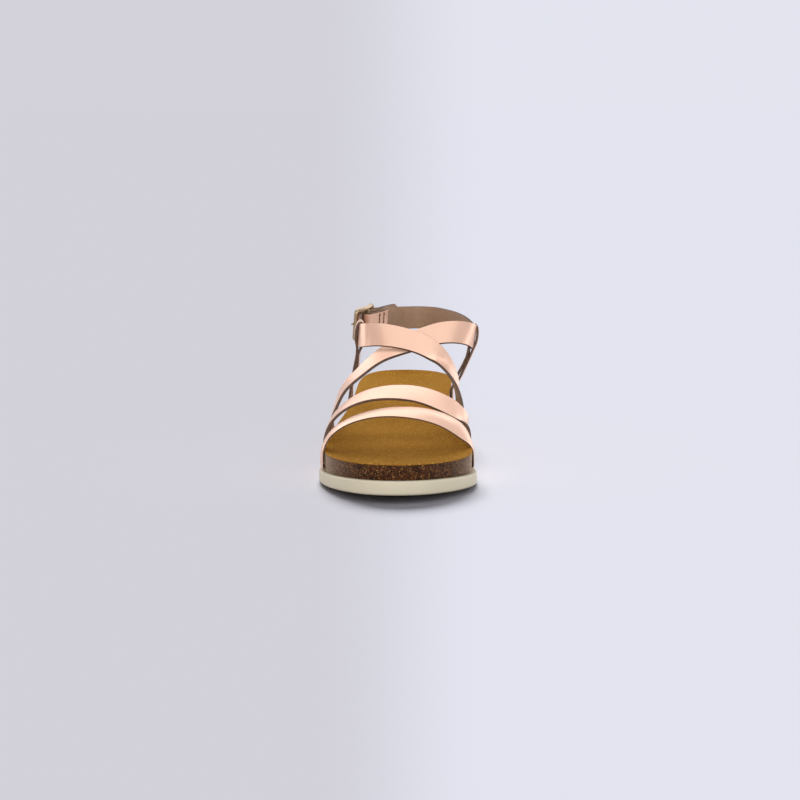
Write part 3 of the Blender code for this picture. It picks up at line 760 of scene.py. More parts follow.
@dataclass(frozen=True)
class Last:
    """Outline and heights that every piece of the sole follows."""
    length: float = 250.0
    toe_spring_slope: float = 0.0635
    toe_spring_start: float = 165.0
    toe_spring_blend: float = 25.0
    arch_height: float = 1.6
    arch_start: float = 82.0
    arch_end: float = 136.0
    nudge: float = 0.002
    outline: tuple[Edge, ...] = (
        Edge(0.0, 0.0, 0.0),
        Edge(4.5, 17.0, 17.2),
        Edge(17.0, 27.8, 28.4),
        Edge(36.0, 32.2, 33.2),
        Edge(55.0, 33.4, 34.2),
        Edge(80.0, 34.7, 33.6),
        Edge(102.0, 36.8, 32.6),
        Edge(125.0, 40.0, 34.2),
        Edge(150.0, 43.6, 39.4),
        Edge(173.0, 46.1, 44.6),
        Edge(188.0, 46.4, 46.4),
        Edge(201.0, 44.3, 46.0),
        Edge(214.0, 40.4, 42.6),
        Edge(227.0, 34.0, 36.0),
        Edge(238.0, 26.0, 26.8),
        Edge(245.0, 18.0, 18.2),
        Edge(248.4, 10.4, 10.5),
        Edge(250.0, 0.0, 0.0),
    )
    sole: tuple[Plate, ...] = (
        Plate(0.0, 11.5),
        Plate(50.0, 10.9),
        Plate(100.0, 10.2),
        Plate(135.0, 9.2),
        Plate(165.0, 7.9),
        Plate(190.0, 7.2),
        Plate(215.0, 7.4),
        Plate(235.0, 8.0),
        Plate(250.0, 8.3),
    )
    bed: tuple[Bed, ...] = (
        Bed(0.0, 42.0, 42.0, 42.0, 2.4),
        Bed(5.0, 39.4, 41.9, 42.0, 2.4),
        Bed(14.0, 35.9, 41.2, 41.9, 2.4),
        Bed(28.0, 34.2, 39.8, 41.9, 2.4),
        Bed(50.0, 33.0, 37.4, 42.0, 2.4),
        Bed(75.0, 30.4, 33.9, 41.2, 2.4),
        Bed(100.0, 27.0, 30.7, 39.2, 2.4),
        Bed(125.0, 23.0, 27.6, 34.2, 2.8),
        Bed(150.0, 19.6, 24.2, 27.4, 3.4),
        Bed(175.0, 17.4, 21.0, 22.4, 4.4),
        Bed(195.0, 17.2, 20.0, 20.8, 5.0),
        Bed(215.0, 18.0, 20.4, 20.7, 5.0),
        Bed(235.0, 19.3, 21.4, 21.5, 5.0),
        Bed(244.0, 20.2, 22.0, 22.0, 5.0),
        Bed(250.0, 22.4, 22.4, 22.4, 5.0),
    )

    def turn_of(self, station: float | Sequence[float]) -> np.ndarray:
        """Angle along the outline, 0 at the heel's back and pi at the toe's tip."""
        return np.arccos(1 - 2 * np.clip(np.asarray(station, float) / self.length, 0, 1))

    def edge_points(self, turn: np.ndarray, side: Side, inset: float) -> np.ndarray:
        """Plan points on one side of the sole.

        Args:
            turn: Angles along the outline.
            side: Side of the foot.
            inset: Distance in from the outsole's edge.

        Returns:
            One plan point per angle.
        """
        knots = self.turn_of([row.station for row in self.outline])
        widths = [row.lateral if side < 0 else row.medial for row in self.outline]

        def place(angle: np.ndarray) -> np.ndarray:
            """Points of the outsole's edge.

            Args:
                angle: Angles along the outline.

            Returns:
                One plan point per angle.
            """
            angle = np.clip(np.atleast_1d(angle), 0, math.pi)
            width = smooth(knots, widths, angle)[:, 0]
            return np.stack((side * width, self.length / 2 * np.cos(angle)), -1)

        along = unit(place(np.asarray(turn) + self.nudge) - place(np.asarray(turn) - self.nudge))
        outward = side * np.stack((-along[:, 1], along[:, 0]), -1)
        return place(turn) - inset * outward

    def toe_spring(self, station: np.ndarray) -> np.ndarray:
        """Lift of the sole under the toes.

        Args:
            station: Stations.

        Returns:
            One height per station.
        """
        past = np.clip(station - self.toe_spring_start, 0, None)
        bend = np.minimum(past, self.toe_spring_blend)
        return self.toe_spring_slope * (bend ** 2 / (2 * self.toe_spring_blend) + past - bend)

    def outsole_bottom(self, station: np.ndarray) -> np.ndarray:
        """Height of the outsole's underside."""
        waist = np.clip((station - self.arch_start) / (self.arch_end - self.arch_start), 0, 1)
        return self.toe_spring(station) + self.arch_height * np.sin(math.pi * waist) ** 2

    def outsole_top(self, station: np.ndarray) -> np.ndarray:
        """Height of the outsole's upper face."""
        thickness = smooth(*zip(*self.sole), station)[:, 0]
        return self.toe_spring(station) + thickness

    def footbed(self, station: np.ndarray, across: np.ndarray) -> np.ndarray:
        """Height of the insole's upper face.

        Args:
            station: Stations.
            across: Places from -1 at the lateral rim to 1 at the medial rim.

        Returns:
            One height per place.
        """
        columns = smooth([row.station for row in self.bed], [row[1:] for row in self.bed], station)
        centre, lateral, medial, fullness = columns.T
        rim = np.where(np.asarray(across) < 0, lateral, medial)
        return centre + (rim - centre) * np.abs(across) ** fullness


LAST = Last()


@dataclass
class SoleUnit:
    """Outsole, cork and insole, as fine solids inside their packed ones."""
    rows: int = 240
    outsole_round: float = 1.4
    outsole_top_share: float = 0.8
    outsole_borders: tuple[float, float] = (0.4, 0.8)
    outsole_low_angles: tuple[int, ...] = (90, 70, 50, 30, 12, 0)
    outsole_top_angles: tuple[int, ...] = (0, 20, 45, 70, 90)
    outsole_columns: tuple[int, int] = (40, 2)
    cork_inset_low: float = 3.1
    cork_inset_top: float = 2.7
    cork_shares: tuple[float, ...] = (0.02, 0.2, 0.4, 0.6, 0.8, 0.97)
    cork_edge: float = 0.1
    cork_border: float = 0.6
    cork_rim_drop: float = 0.9
    cork_seat: float = 0.1
    cork_columns: tuple[int, int] = (2, 24)
    insole_thickness: float = 0.75
    insole_round: float = 0.5
    insole_angles: tuple[int, ...] = (0, 25, 50, 72, 90)
    insole_edge: float = 0.1
    insole_border: float = 0.5
    insole_side: float = 0.15
    insole_columns: tuple[int, int] = (24, 44)
    tread_depth: float = 0.7
    tread_pitch: float = 6.2
    tread_wave: float = 2.4
    tread_swings: float = 2.5
    tread_land: float = 0.35
    tread_border: float = 0.86
    tread_fade: float = 0.06
    tread_heel: float = 8.0
    tread_toe: float = 9.0
    tread_run_in: float = 3.0

    def solid(self, name: str, finish: Finishes, levels: Sequence[Level], columns: tuple[int, int],
              node: str) -> bpy.types.Object:
        """Closed solid from rings round the outline, with a grid for its underside and its upper face.

        Args:
            name: Piece name.
            finish: Its finish.
            levels: Inset and height of each ring, from the underside's border to the upper face's.
            columns: Columns of the underside and of the upper face.
            node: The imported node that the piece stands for.

        Returns:
            The piece.
        """
        turns = np.linspace(0, math.pi, self.rows + 1)
        points: list[np.ndarray] = []
        faces: list[tuple[int, ...]] = []
        rings: list[list[int]] = []
        sides = []

        def add(plan: np.ndarray, heights: np.ndarray) -> list[int]:
            """Add places.

            Args:
                plan: Their plan points.
                heights: Their heights.

            Returns:
                Their numbers.
            """
            start = len(points)
            points.extend(np.column_stack((plan, heights)))
            return list(range(start, len(points)))

        for inset, height in levels:
            lateral = LAST.edge_points(turns, Side.LATERAL, inset)
            medial = LAST.edge_points(turns, Side.MEDIAL, inset)
            left = add(lateral, height(LAST.length / 2 - lateral[:, 1], -np.ones(len(turns))))
            inner = medial[1:-1]
            right = add(inner, height(LAST.length / 2 - inner[:, 1], np.ones(len(inner))))
            rings.append(left + right[::-1])
            sides.append((lateral, medial, left, [left[0]] + right + [left[-1]], height))
        for low, high in zip(rings, rings[1:]):
            for i in range(len(low)):
                j = (i + 1) % len(low)
                faces.append((low[i], low[j], high[j], high[i]))
        for level, count in zip((0, -1), columns):
            lateral, medial, left, right, height = sides[level]
            spread = np.sin(np.linspace(-math.pi / 2, math.pi / 2, count + 1))[1:-1]
            rows = []
            for j in range(1, self.rows):
                plan = lateral[j] + (medial[j] - lateral[j]) * (1 + spread[:, None]) / 2
                middle = add(plan, height(LAST.length / 2 - plan[:, 1], spread))
                rows.append([left[j]] + middle + [right[j]])
            for near, far in zip(rows, rows[1:]):
                for k in range(len(near) - 1):
                    faces.append((near[k], near[k + 1], far[k + 1], far[k]))
            for tip, row in ((left[0], rows[0]), (left[-1], rows[-1])):
                for k in range(len(row) - 1):
                    faces.append((tip, row[k], row[k + 1]))
        piece = make_piece(name, points, faces, [finish.material()])
        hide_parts(node)
        return piece

    def tread(self, station: np.ndarray, across: np.ndarray) -> np.ndarray:
        """Height of the outsole's underside with shallow waves pressed into it.

        Args:
            station: Stations.
            across: Places across the sole, from -1 to 1.

        Returns:
            One height per place.
        """
        phase = (station + self.tread_wave * np.cos(across * self.tread_swings * math.pi)) / self.tread_pitch
        groove = np.clip(np.cos(2 * math.pi * phase) - self.tread_land, 0, None) / (1 - self.tread_land)
        inside = np.clip((self.tread_border - np.abs(across)) / self.tread_fade, 0, 1)
        heel = np.clip((station - self.tread_heel) / self.tread_run_in, 0, 1)
        toe = np.clip((LAST.length - self.tread_toe - station) / self.tread_run_in, 0, 1)
        return LAST.outsole_bottom(station) + self.tread_depth * groove * inside * (heel * toe)

    def outsole(self) -> bpy.types.Object:
        """Sole plate with an upright side, rounded edges and a waved tread.

        Returns:
            The piece.
        """
        def level(height: Callable[[np.ndarray], np.ndarray], lift: float) -> Height:
            """Ring height that ignores the place across."""
            return lambda station, across: height(station) + lift

        r = self.outsole_round
        low_border, top_border = self.outsole_borders
        levels: list[Level] = [(r + low_border, self.tread)]
        for angle in np.radians(self.outsole_low_angles):
            levels.append((r - r * math.cos(angle), level(LAST.outsole_bottom, r - r * math.sin(angle))))
        top = self.outsole_top_share * r
        for angle in np.radians(self.outsole_top_angles):
            levels.append((top - top * math.cos(angle), level(LAST.outsole_top, top * math.sin(angle) - top)))
        levels.append((top + top_border, level(LAST.outsole_top, 0.0)))
        return self.solid("outsole_cream", Finishes.SOLE, levels, self.outsole_columns, "outsole")

    def cork(self) -> bpy.types.Object:
        """Cork block between the outsole and the insole.

        Returns:
            The piece.
        """
        def between(share: float, drop: float = 0.0) -> Height:
            """Ring height at a share of the wall.

            Args:
                share: 0 at the outsole, 1 at the insole.
                drop: Distance below that.

            Returns:
                The height by station and place across.
            """
            def height(station: np.ndarray, across: np.ndarray) -> np.ndarray:
                """Height between the outsole and the insole's underside.

                Args:
                    station: Stations.
                    across: Places across the sole, from -1 to 1.

                Returns:
                    One height per place.
                """
                low = LAST.outsole_top(station) + GAP
                high = LAST.footbed(station, across) - self.insole_thickness - self.cork_seat
                return low + (high - low) * share - drop
            return height

        low, top = self.cork_inset_low, self.cork_inset_top
        levels: list[Level] = [(low + self.cork_border, between(0.0)), (low + self.cork_edge, between(0.0))]
        levels += [(low + (top - low) * share, between(share)) for share in self.cork_shares]
        levels += [(top + self.cork_edge, between(1.0)),
                   (top + self.cork_border, between(1.0, self.cork_rim_drop))]
        return self.solid("cork_block", Finishes.CORK, levels, self.cork_columns, "cork_midsole")

    def insole(self) -> bpy.types.Object:
        """Suede cover with a rounded lip round the rim.

        Returns:
            The piece.
        """
        def sheet(drop: float) -> Height:
            """Ring height below the upper face."""
            return lambda station, across: LAST.footbed(station, across) - drop

        r, inset, thickness = self.insole_round, self.cork_inset_top, self.insole_thickness
        levels: list[Level] = [(inset + self.insole_border, sheet(thickness)),
                               (inset + self.insole_edge, sheet(thickness)),
                               (inset, sheet(thickness - self.insole_side))]
        for angle in np.radians(self.insole_angles):
            levels.append((inset + r - r * math.cos(angle), sheet(r - r * math.sin(angle))))
        return self.solid("suede_insole", Finishes.SUEDE, levels, self.insole_columns, "insole")

    def build(self) -> list[bpy.types.Object]:
        """Make the three pieces."""
        return [self.outsole(), self.cork(), self.insole()]


# Straps


TRACE_STEP = 1.0
SLOPE_REACH = 0.05
CALM_BLEND = 12
PLACE_BLUR = 4.0
ACROSS_BLUR = 6.0


@dataclass(frozen=True)
class Traced:
    """Samples along a strap."""
    place: np.ndarray
    along: np.ndarray
    across: np.ndarray
    outward: np.ndarray
    width: np.ndarray
    thickness: np.ndarray
    travel: np.ndarray


def trace(rows: Sequence[Row], step: float = TRACE_STEP,
          calm: tuple[float, float] | None = None) -> Traced:
    """Sample a strap's rows along a smooth curve.

    Args:
        rows: The strap's sections.
        step: Distance between samples.
        calm: Lengths at both ends that keep their exact shape; between them the strap is softened.

    Returns:
        The samples.
    """
    points = np.array([row.point for row in rows])
    chord = np.linalg.norm(np.diff(points, axis=0), axis=1)
    knots = np.concatenate(([0.0], np.cumsum(chord)))
    at = [0.0]
    for start, length in zip(knots, chord):
        count = max(1, math.ceil(length / step))
        at.extend(start + length * (i + 1) / count for i in range(count))
    at = np.array(at)
    place = smooth(knots, points, at)
    along = unit(smooth(knots, points, at + SLOPE_REACH) - smooth(knots, points, at - SLOPE_REACH))
    across = smooth(knots, [row.across for row in rows], at)
    if calm is not None:
        begun = np.clip((at - calm[0]) / CALM_BLEND, 0, 1)
        blend = begun * np.clip((at[-1] - calm[1] - at) / CALM_BLEND, 0, 1)
        blend = (blend * blend * (3 - 2 * blend))[:, None]
        place = place + (soften(place, PLACE_BLUR / step) - place) * blend
        across = across + (soften(across, ACROSS_BLUR / step) - across) * blend
        along = unit(np.gradient(place, axis=0))
    across = unit(across - along * np.sum(across * along, axis=1, keepdims=True))
    width = np.interp(at, knots, [row.width for row in rows])
    thickness = np.interp(at, knots, [row.thickness for row in rows])
    return Traced(place, along, across, np.cross(along, across), width, thickness, at)


@dataclass
class Ribbon:
    """A strap with rounded edges, a leather face, cut edges and a lining."""
    name: str
    rows: list[Row]
    step: float = TRACE_STEP
    calm: tuple[float, float] | None = None
    crown: float = 0.15
    crown_limit: float = 0.08
    bevel: float = 0.35
    bevel_limit: float = 0.25
    bevel_angles: Triple = (60, 30, 0)
    creases: tuple[Crease, ...] = ()
    face_places: tuple[float, ...] = (-1, -0.97, -0.85, -0.6, -0.3, 0, 0.3, 0.6, 0.85, 0.97, 1)
    back_places: tuple[float, ...] = (1, 0.95, 0.5, 0, -0.5, -0.95, -1)

    def section(self) -> tuple[np.ndarray, list[Face]]:
        """Ring of the strap's section.

        Returns:
            Factors of each point for the half width less the bevel, the bevel across, the crown, the bevel
            deep and the flat of the edge, and the face that starts at each point.
        """
        points: list[tuple[float, ...]] = [(v, 0, v * v, 0, 0) for v in self.face_places]
        kinds = [Face.OUTER] * len(points)
        for sign in (1, -1):
            angles = np.radians(self.bevel_angles)
            corner = [(sign, sign * math.cos(a), 1, 1 - math.sin(a), 0) for a in angles]
            edge = [(sign, sign, 1, 1, 0.5), (sign, sign, 1, 1, 1)]
            under = [(sign, sign * math.cos(a), 1, 1 + math.sin(a), 1) for a in angles[1::-1]]
            side = corner + edge + under
            kinds_here = [Face.EDGE] * (len(side) - 1)
            if sign > 0:
                points += side + [(v, 0, 1, 2, 1) for v in self.back_places]
                kinds += kinds_here + [Face.LINING] * (len(self.back_places) + 1)
            else:
                points += side[::-1]
                kinds += kinds_here + [Face.OUTER]
        return np.array(points), kinds

    def sunk(self, run: Traced) -> np.ndarray:
        """Middle line of the outer face, with the creases pressed into it.

        Args:
            run: Samples along the strap.

        Returns:
            One place per sample.
        """
        place = run.place
        for crease in self.creases:
            spot = np.array([crease.x, LAST.length / 2 - crease.station, crease.height])
            middle = run.travel[int(np.argmin(np.linalg.norm(run.place - spot, axis=1)))]
            trough = crease.depth * np.exp(-((run.travel - middle) / crease.spread) ** 2)
            place = place - trough[:, None] * run.outward
        return place

    def build(self) -> bpy.types.Object:
        """Make the strap.

        Returns:
            The piece.
        """
        run = trace(self.rows, self.step, self.calm)
        factors, kinds = self.section()
        half = run.width[:, None] / 2
        bevel = np.minimum(self.bevel, self.bevel_limit * run.thickness)[:, None]
        crown = np.minimum(self.crown, self.crown_limit * run.width)[:, None]
        flat = run.thickness[:, None] - 2 * bevel - crown
        sideways = factors[:, 0] * (half - bevel) + factors[:, 1] * bevel
        depth = factors[:, 2] * crown + factors[:, 3] * bevel + factors[:, 4] * flat
        points = (self.sunk(run)[:, None, :] + sideways[:, :, None] * run.across[:, None, :]
                  - depth[:, :, None] * run.outward[:, None, :]).reshape(-1, 3)
        count = len(factors)
        faces: list[tuple[int, ...]] = []
        face_kinds: list[int] = []
        for s in range(len(run.place) - 1):
            for i in range(count):
                j = (i + 1) % count
                faces.append((s * count + i, s * count + j, (s + 1) * count + j, (s + 1) * count + i))
                face_kinds.append(kinds[i])
        last = (len(run.place) - 1) * count
        faces += [tuple(range(count)), tuple(last + i for i in range(count))]
        face_kinds += [Face.EDGE, Face.EDGE]
        return make_piece(self.name, points, faces, [f.material() for f in STRAP_FINISHES], face_kinds)


@dataclass(frozen=True)
class LastedEnd:
    """A strap's end: down the cork's wall, and in under it."""
    side: Side
    station: float
    wall_inset: float = 0.7
    bend: float = 2.0
    bend_angles: tuple[int, ...] = (0, 15, 30, 45, 60, 75, 90)
    margin_thickness: float = 1.4
    margin_width: float = 18.0
    tuck: float = 0.4
    width: float = STRAP_WIDTH
    thickness: float = 1.8

    def rows(self, heelward: float = 1.0) -> list[Row]:
        """Sections from the tuck up to the rim.

        Args:
            heelward: 1 if the strap's width runs to the heel, or -1 to the toe.

        Returns:
            The sections.
        """
        half = self.width / 2
        turns = LAST.turn_of([self.station + half, self.station, self.station - half])
        front, middle, back = LAST.edge_points(turns, self.side, 0.0)
        along = unit(back - front)
        outward = self.side * np.array([along[1], -along[0]])
        reach = self.margin_width / 2
        floor = max(LAST.outsole_top(self.station + shift)[0] for shift in (-reach, reach)) + GAP
        rim = LAST.footbed(self.station, self.side)[0]
        across = heelward * np.array([along[0], along[1], 0.0])

        def row(inset: float, height: float, thickness: float) -> Row:
            """One section at a distance in from the sole's edge."""
            return Row(np.append(middle - inset * outward, height), across, self.width, thickness)

        bend_inset = self.wall_inset + self.bend
        found = [row(bend_inset + self.tuck * self.bend, floor, self.margin_thickness)]
        for angle in np.radians(self.bend_angles):
            inset = bend_inset - self.bend * math.sin(angle)
            found.append(row(inset, floor + self.bend * (1 - math.cos(angle)), self.margin_thickness))
        for height in (0.5 * (floor + rim), rim - self.bend, rim):
            found.append(row(self.wall_inset, height, self.thickness))
        return found


def free_rows(table: Sequence[Lay]) -> list[Row]:
    """Sections of a strap's free stretch.

    Args:
        table: The stretch's rows.

    Returns:
        The sections.
    """
    found = []
    for lay in table:
        rise = math.radians(lay.rise)
        across = unit(np.array([math.tan(math.radians(lay.flare)), math.cos(rise), math.sin(rise)]))
        found.append(Row(np.array([lay.x, LAST.length / 2 - lay.station, lay.height]), across))
    return found


def add_part(points: list[np.ndarray], faces: list[tuple[int, ...]],
             part: tuple[list[np.ndarray], list[tuple[int, ...]]]) -> None:
    """Append one more part to a piece's points and faces.

    Args:
        points: The piece's points.
        faces: Its faces.
        part: Points and faces of the part.
    """
    start = len(points)
    points += part[0]
    faces += [tuple(start + i for i in face) for face in part[1]]


@dataclass
class Buckle:
    """Gilt frame with a centre bar and a prong, and the places of the straps inside it."""
    centre: Triple = (-26.3, 51.5, 80.6)
    turn: float = 28.0
    lean: float = 9.0
    rise: float = 7.0
    half_length: float = 9.2
    half_height: float = 9.6
    drop: float = 0.8
    corner: float = 1.8
    bar: float = 1.15
    bar_width: float = 1.6
    bar_depth: float = 1.4
    arch: float = 3.0
    side_arch: float = 1.7
    bar_share: float = 0.92
    bar_seat: float = 0.4
    corner_steps: int = 10
    straight_steps: int = 7
    straight_share: float = 0.75
    squareness: float = 0.6
    cap_share: float = 0.45
    sides: int = 24
    prong_radius: float = 0.8
    prong_taper: float = 0.8
    prong_steps: int = 60
    prong_rise: float = 2.0
    hook_angles: tuple[int, int, int] = (-20, -181, -16)
    prong_arch: tuple[Weave, ...] = (Weave(-1.7, 3.1), Weave(-0.4, 3.6), Weave(1.6, 3.7), Weave(5.0, 2.9))
    prong_tip: Weave = Weave(2.4, -0.4)

    def axes(self) -> tuple[np.ndarray, np.ndarray, np.ndarray, np.ndarray]:
        """Place and directions of the buckle.

        Returns:
            Centre, and the directions forward along the strap, up along the bars, and outward.
        """
        turn, lean, rise = (math.radians(a) for a in (self.turn, self.lean, self.rise))
        forward = np.array([-math.sin(turn), -math.cos(turn), 0.0])
        outward = np.array([-math.cos(turn), math.sin(turn), 0.0])
        up = np.array([0.0, 0.0, 1.0]) * math.cos(lean) - outward * math.sin(lean)
        tilted = forward * math.cos(rise) - up * math.sin(rise)
        up = up * math.cos(rise) + forward * math.sin(rise)
        x, station, z = self.centre
        return np.array([x, LAST.length / 2 - station, z]), tilted, up, np.cross(tilted, up)

    def at(self, forward: float, up: float, outward: float) -> np.ndarray:
        """Place given in the buckle's own directions."""
        centre, u, v, w = self.axes()
        return centre + forward * u + up * v + outward * w

    def weave(self, table: Sequence[Weave], width: float = STRAP_WIDTH,
              thickness: float = STRAP_THICKNESS) -> list[Row]:
        """Sections of a strap inside the buckle.

        Args:
            table: Places of the strap's outer face.
            width: Width there.
            thickness: Thickness there.

        Returns:
            The sections.
        """
        up = self.axes()[2]
        return [Row(self.at(w.forward, 0.0, w.outward), up, width, thickness) for w in table]

    def block(self, name: str, forward: tuple[float, float], up: tuple[float, float],
              outward: tuple[float, float], materials: Sequence[bpy.types.Material]) -> bpy.types.Object:
        """Cutter between two places along each of the buckle's directions.

        Args:
            name: Cutter name.
            forward: First and last place along the strap.
            up: First and last place along the bars.
            outward: First and last place outward.
            materials: Materials of the piece that is cut.

        Returns:
            The cutter.
        """
        corners = ((0, 0), (1, 0), (1, 1), (0, 1))
        points = [self.at(forward[i], up[j], outward[k]) for k in (0, 1) for i, j in corners]
        faces = [(0, 1, 2, 3), (4, 5, 6, 7)] + [(i, (i + 1) % 4, (i + 1) % 4 + 4, i + 4) for i in range(4)]
        return make_piece(name, points, faces, materials, [Face.EDGE] * len(faces))

    def tube(self, path: Sequence[Triple], radius: float, closed: bool, taper: float = 1.0,
             wide: float = 0.0) -> tuple[list[np.ndarray], list[tuple[int, ...]]]:
        """Bar along a path in the buckle's own directions, round or with a flattened section.

        Args:
            path: Places of its axis.
            radius: Radius at its start.
            closed: Whether it ends where it starts.
            taper: Share of the radius at its end.
            wide: Half-width in the buckle's plane for a flattened bar, or 0 for a round one.

        Returns:
            Points and faces.
        """
        line = np.array([self.at(*p) for p in path])
        ahead, behind = np.roll(line, -1, axis=0), np.roll(line, 1, axis=0)
        if not closed:
            ahead[-1], behind[0] = line[-1], line[0]
        ways = unit(ahead - behind)
        side = self.axes()[3] if wide else np.zeros(3)
        points: list[np.ndarray] = []
        faces: list[tuple[int, ...]] = []
        count, n = len(line), self.sides
        for s, (point, way) in enumerate(zip(line, ways)):
            start = side if np.any(side) else np.cross(way, unit(way[[2, 0, 1]]))
            side = unit(start - way * np.dot(start, way))
            other = np.cross(way, side)
            size = radius * (1 + (taper - 1) * s / (count - 1))
            for k in range(n):
                angle = 2 * math.pi * k / n
                deep, flat = math.cos(angle), math.sin(angle)
                if wide:
                    deep, flat = (math.copysign(abs(v) ** self.squareness, v) for v in (deep, flat))
                points.append(point + size * deep * side + (wide or size) * flat * other)
        for s in range(count if closed else count - 1):
            e = (s + 1) % count
            for k in range(n):
                m = (k + 1) % n
                faces.append((s * n + k, s * n + m, e * n + m, e * n + k))
        if not closed:
            for s, way in ((0, -1), (count - 1, 1)):
                tip = line[s] + way * ways[s] * radius * self.cap_share * (taper if s else 1.0)
                points.append(tip)
                for k in range(n):
                    faces.append((s * n + k, s * n + (k + 1) % n, len(points) - 1))
        return points, faces

    def sag(self, forward: float) -> float:
        """How far the arched frame lies inward of its end bars."""
        return -self.side_arch * (1 - (forward / self.half_length) ** 2)

    def frame(self) -> bpy.types.Object:
        """Rectangular frame with round corners, and the centre bar between its long sides.

        Returns:
            The piece.
        """
        long, high = self.half_length - self.corner, self.half_height - self.corner
        straight = np.linspace(self.straight_share, -self.straight_share, self.straight_steps)
        path: list[Triple] = []
        for quarter, (x, y) in enumerate(((1, 1), (-1, 1), (-1, -1), (1, -1))):
            for angle in np.radians(quarter * 90 + np.linspace(0, 90, self.corner_steps)):
                forward = x * long + self.corner * math.cos(angle)
                up = y * high + self.corner * math.sin(angle) - self.drop
                path.append((forward, up, self.sag(forward)))
            for share in straight:
                if quarter in (0, 2):
                    along = x * share * long
                    path.append((along, y * self.half_height - self.drop, self.sag(along)))
                else:
                    path.append((x * self.half_length, y * share * high - self.drop, 0.0))
        points, faces = self.tube(path, self.bar_depth, True, wide=self.bar_width)
        reach = self.half_height - self.bar_seat
        shares = np.linspace(-1, 1, self.straight_steps)
        bar = [(0.0, share * reach - self.drop, -self.arch) for share in shares]
        add_part(points, faces, self.tube(bar, self.bar_share * self.bar, False))
        piece = make_piece("buckle_gilt_frame", points, faces, [Finishes.GILT.material()])
        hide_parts("buckle_frame")
        return piece

    def prong(self) -> bpy.types.Object:
        """Wire hooked round the centre bar, out through the strap and forward over the front bar.

        Returns:
            The piece.
        """
        hook = self.bar + self.prong_radius
        path = [Weave(hook * math.cos(a), hook * math.sin(a) - self.arch)
                for a in np.radians(np.arange(*self.hook_angles))]
        path += [Weave(-hook, 0.0), Weave(-hook, self.prong_rise), *self.prong_arch]
        tip = self.prong_tip
        path += [Weave(self.half_length, hook), Weave(self.half_length + tip.forward, hook + tip.outward)]
        knots = np.concatenate(([0.0], np.cumsum(np.linalg.norm(np.diff(np.array(path), axis=0), axis=1))))
        fine = smooth(knots, path, np.linspace(0, knots[-1], self.prong_steps))
        line = [(forward, 0.0, outward) for forward, outward in fine]
        points, faces = self.tube(line, self.prong_radius, False, self.prong_taper)
        piece = make_piece("buckle_gilt_prong", points, faces, [Finishes.GILT.material()])
        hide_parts("buckle_prong")
        return piece

    def build(self) -> list[bpy.types.Object]:
        """Make the frame and the prong."""
        return [self.frame(), self.prong()]


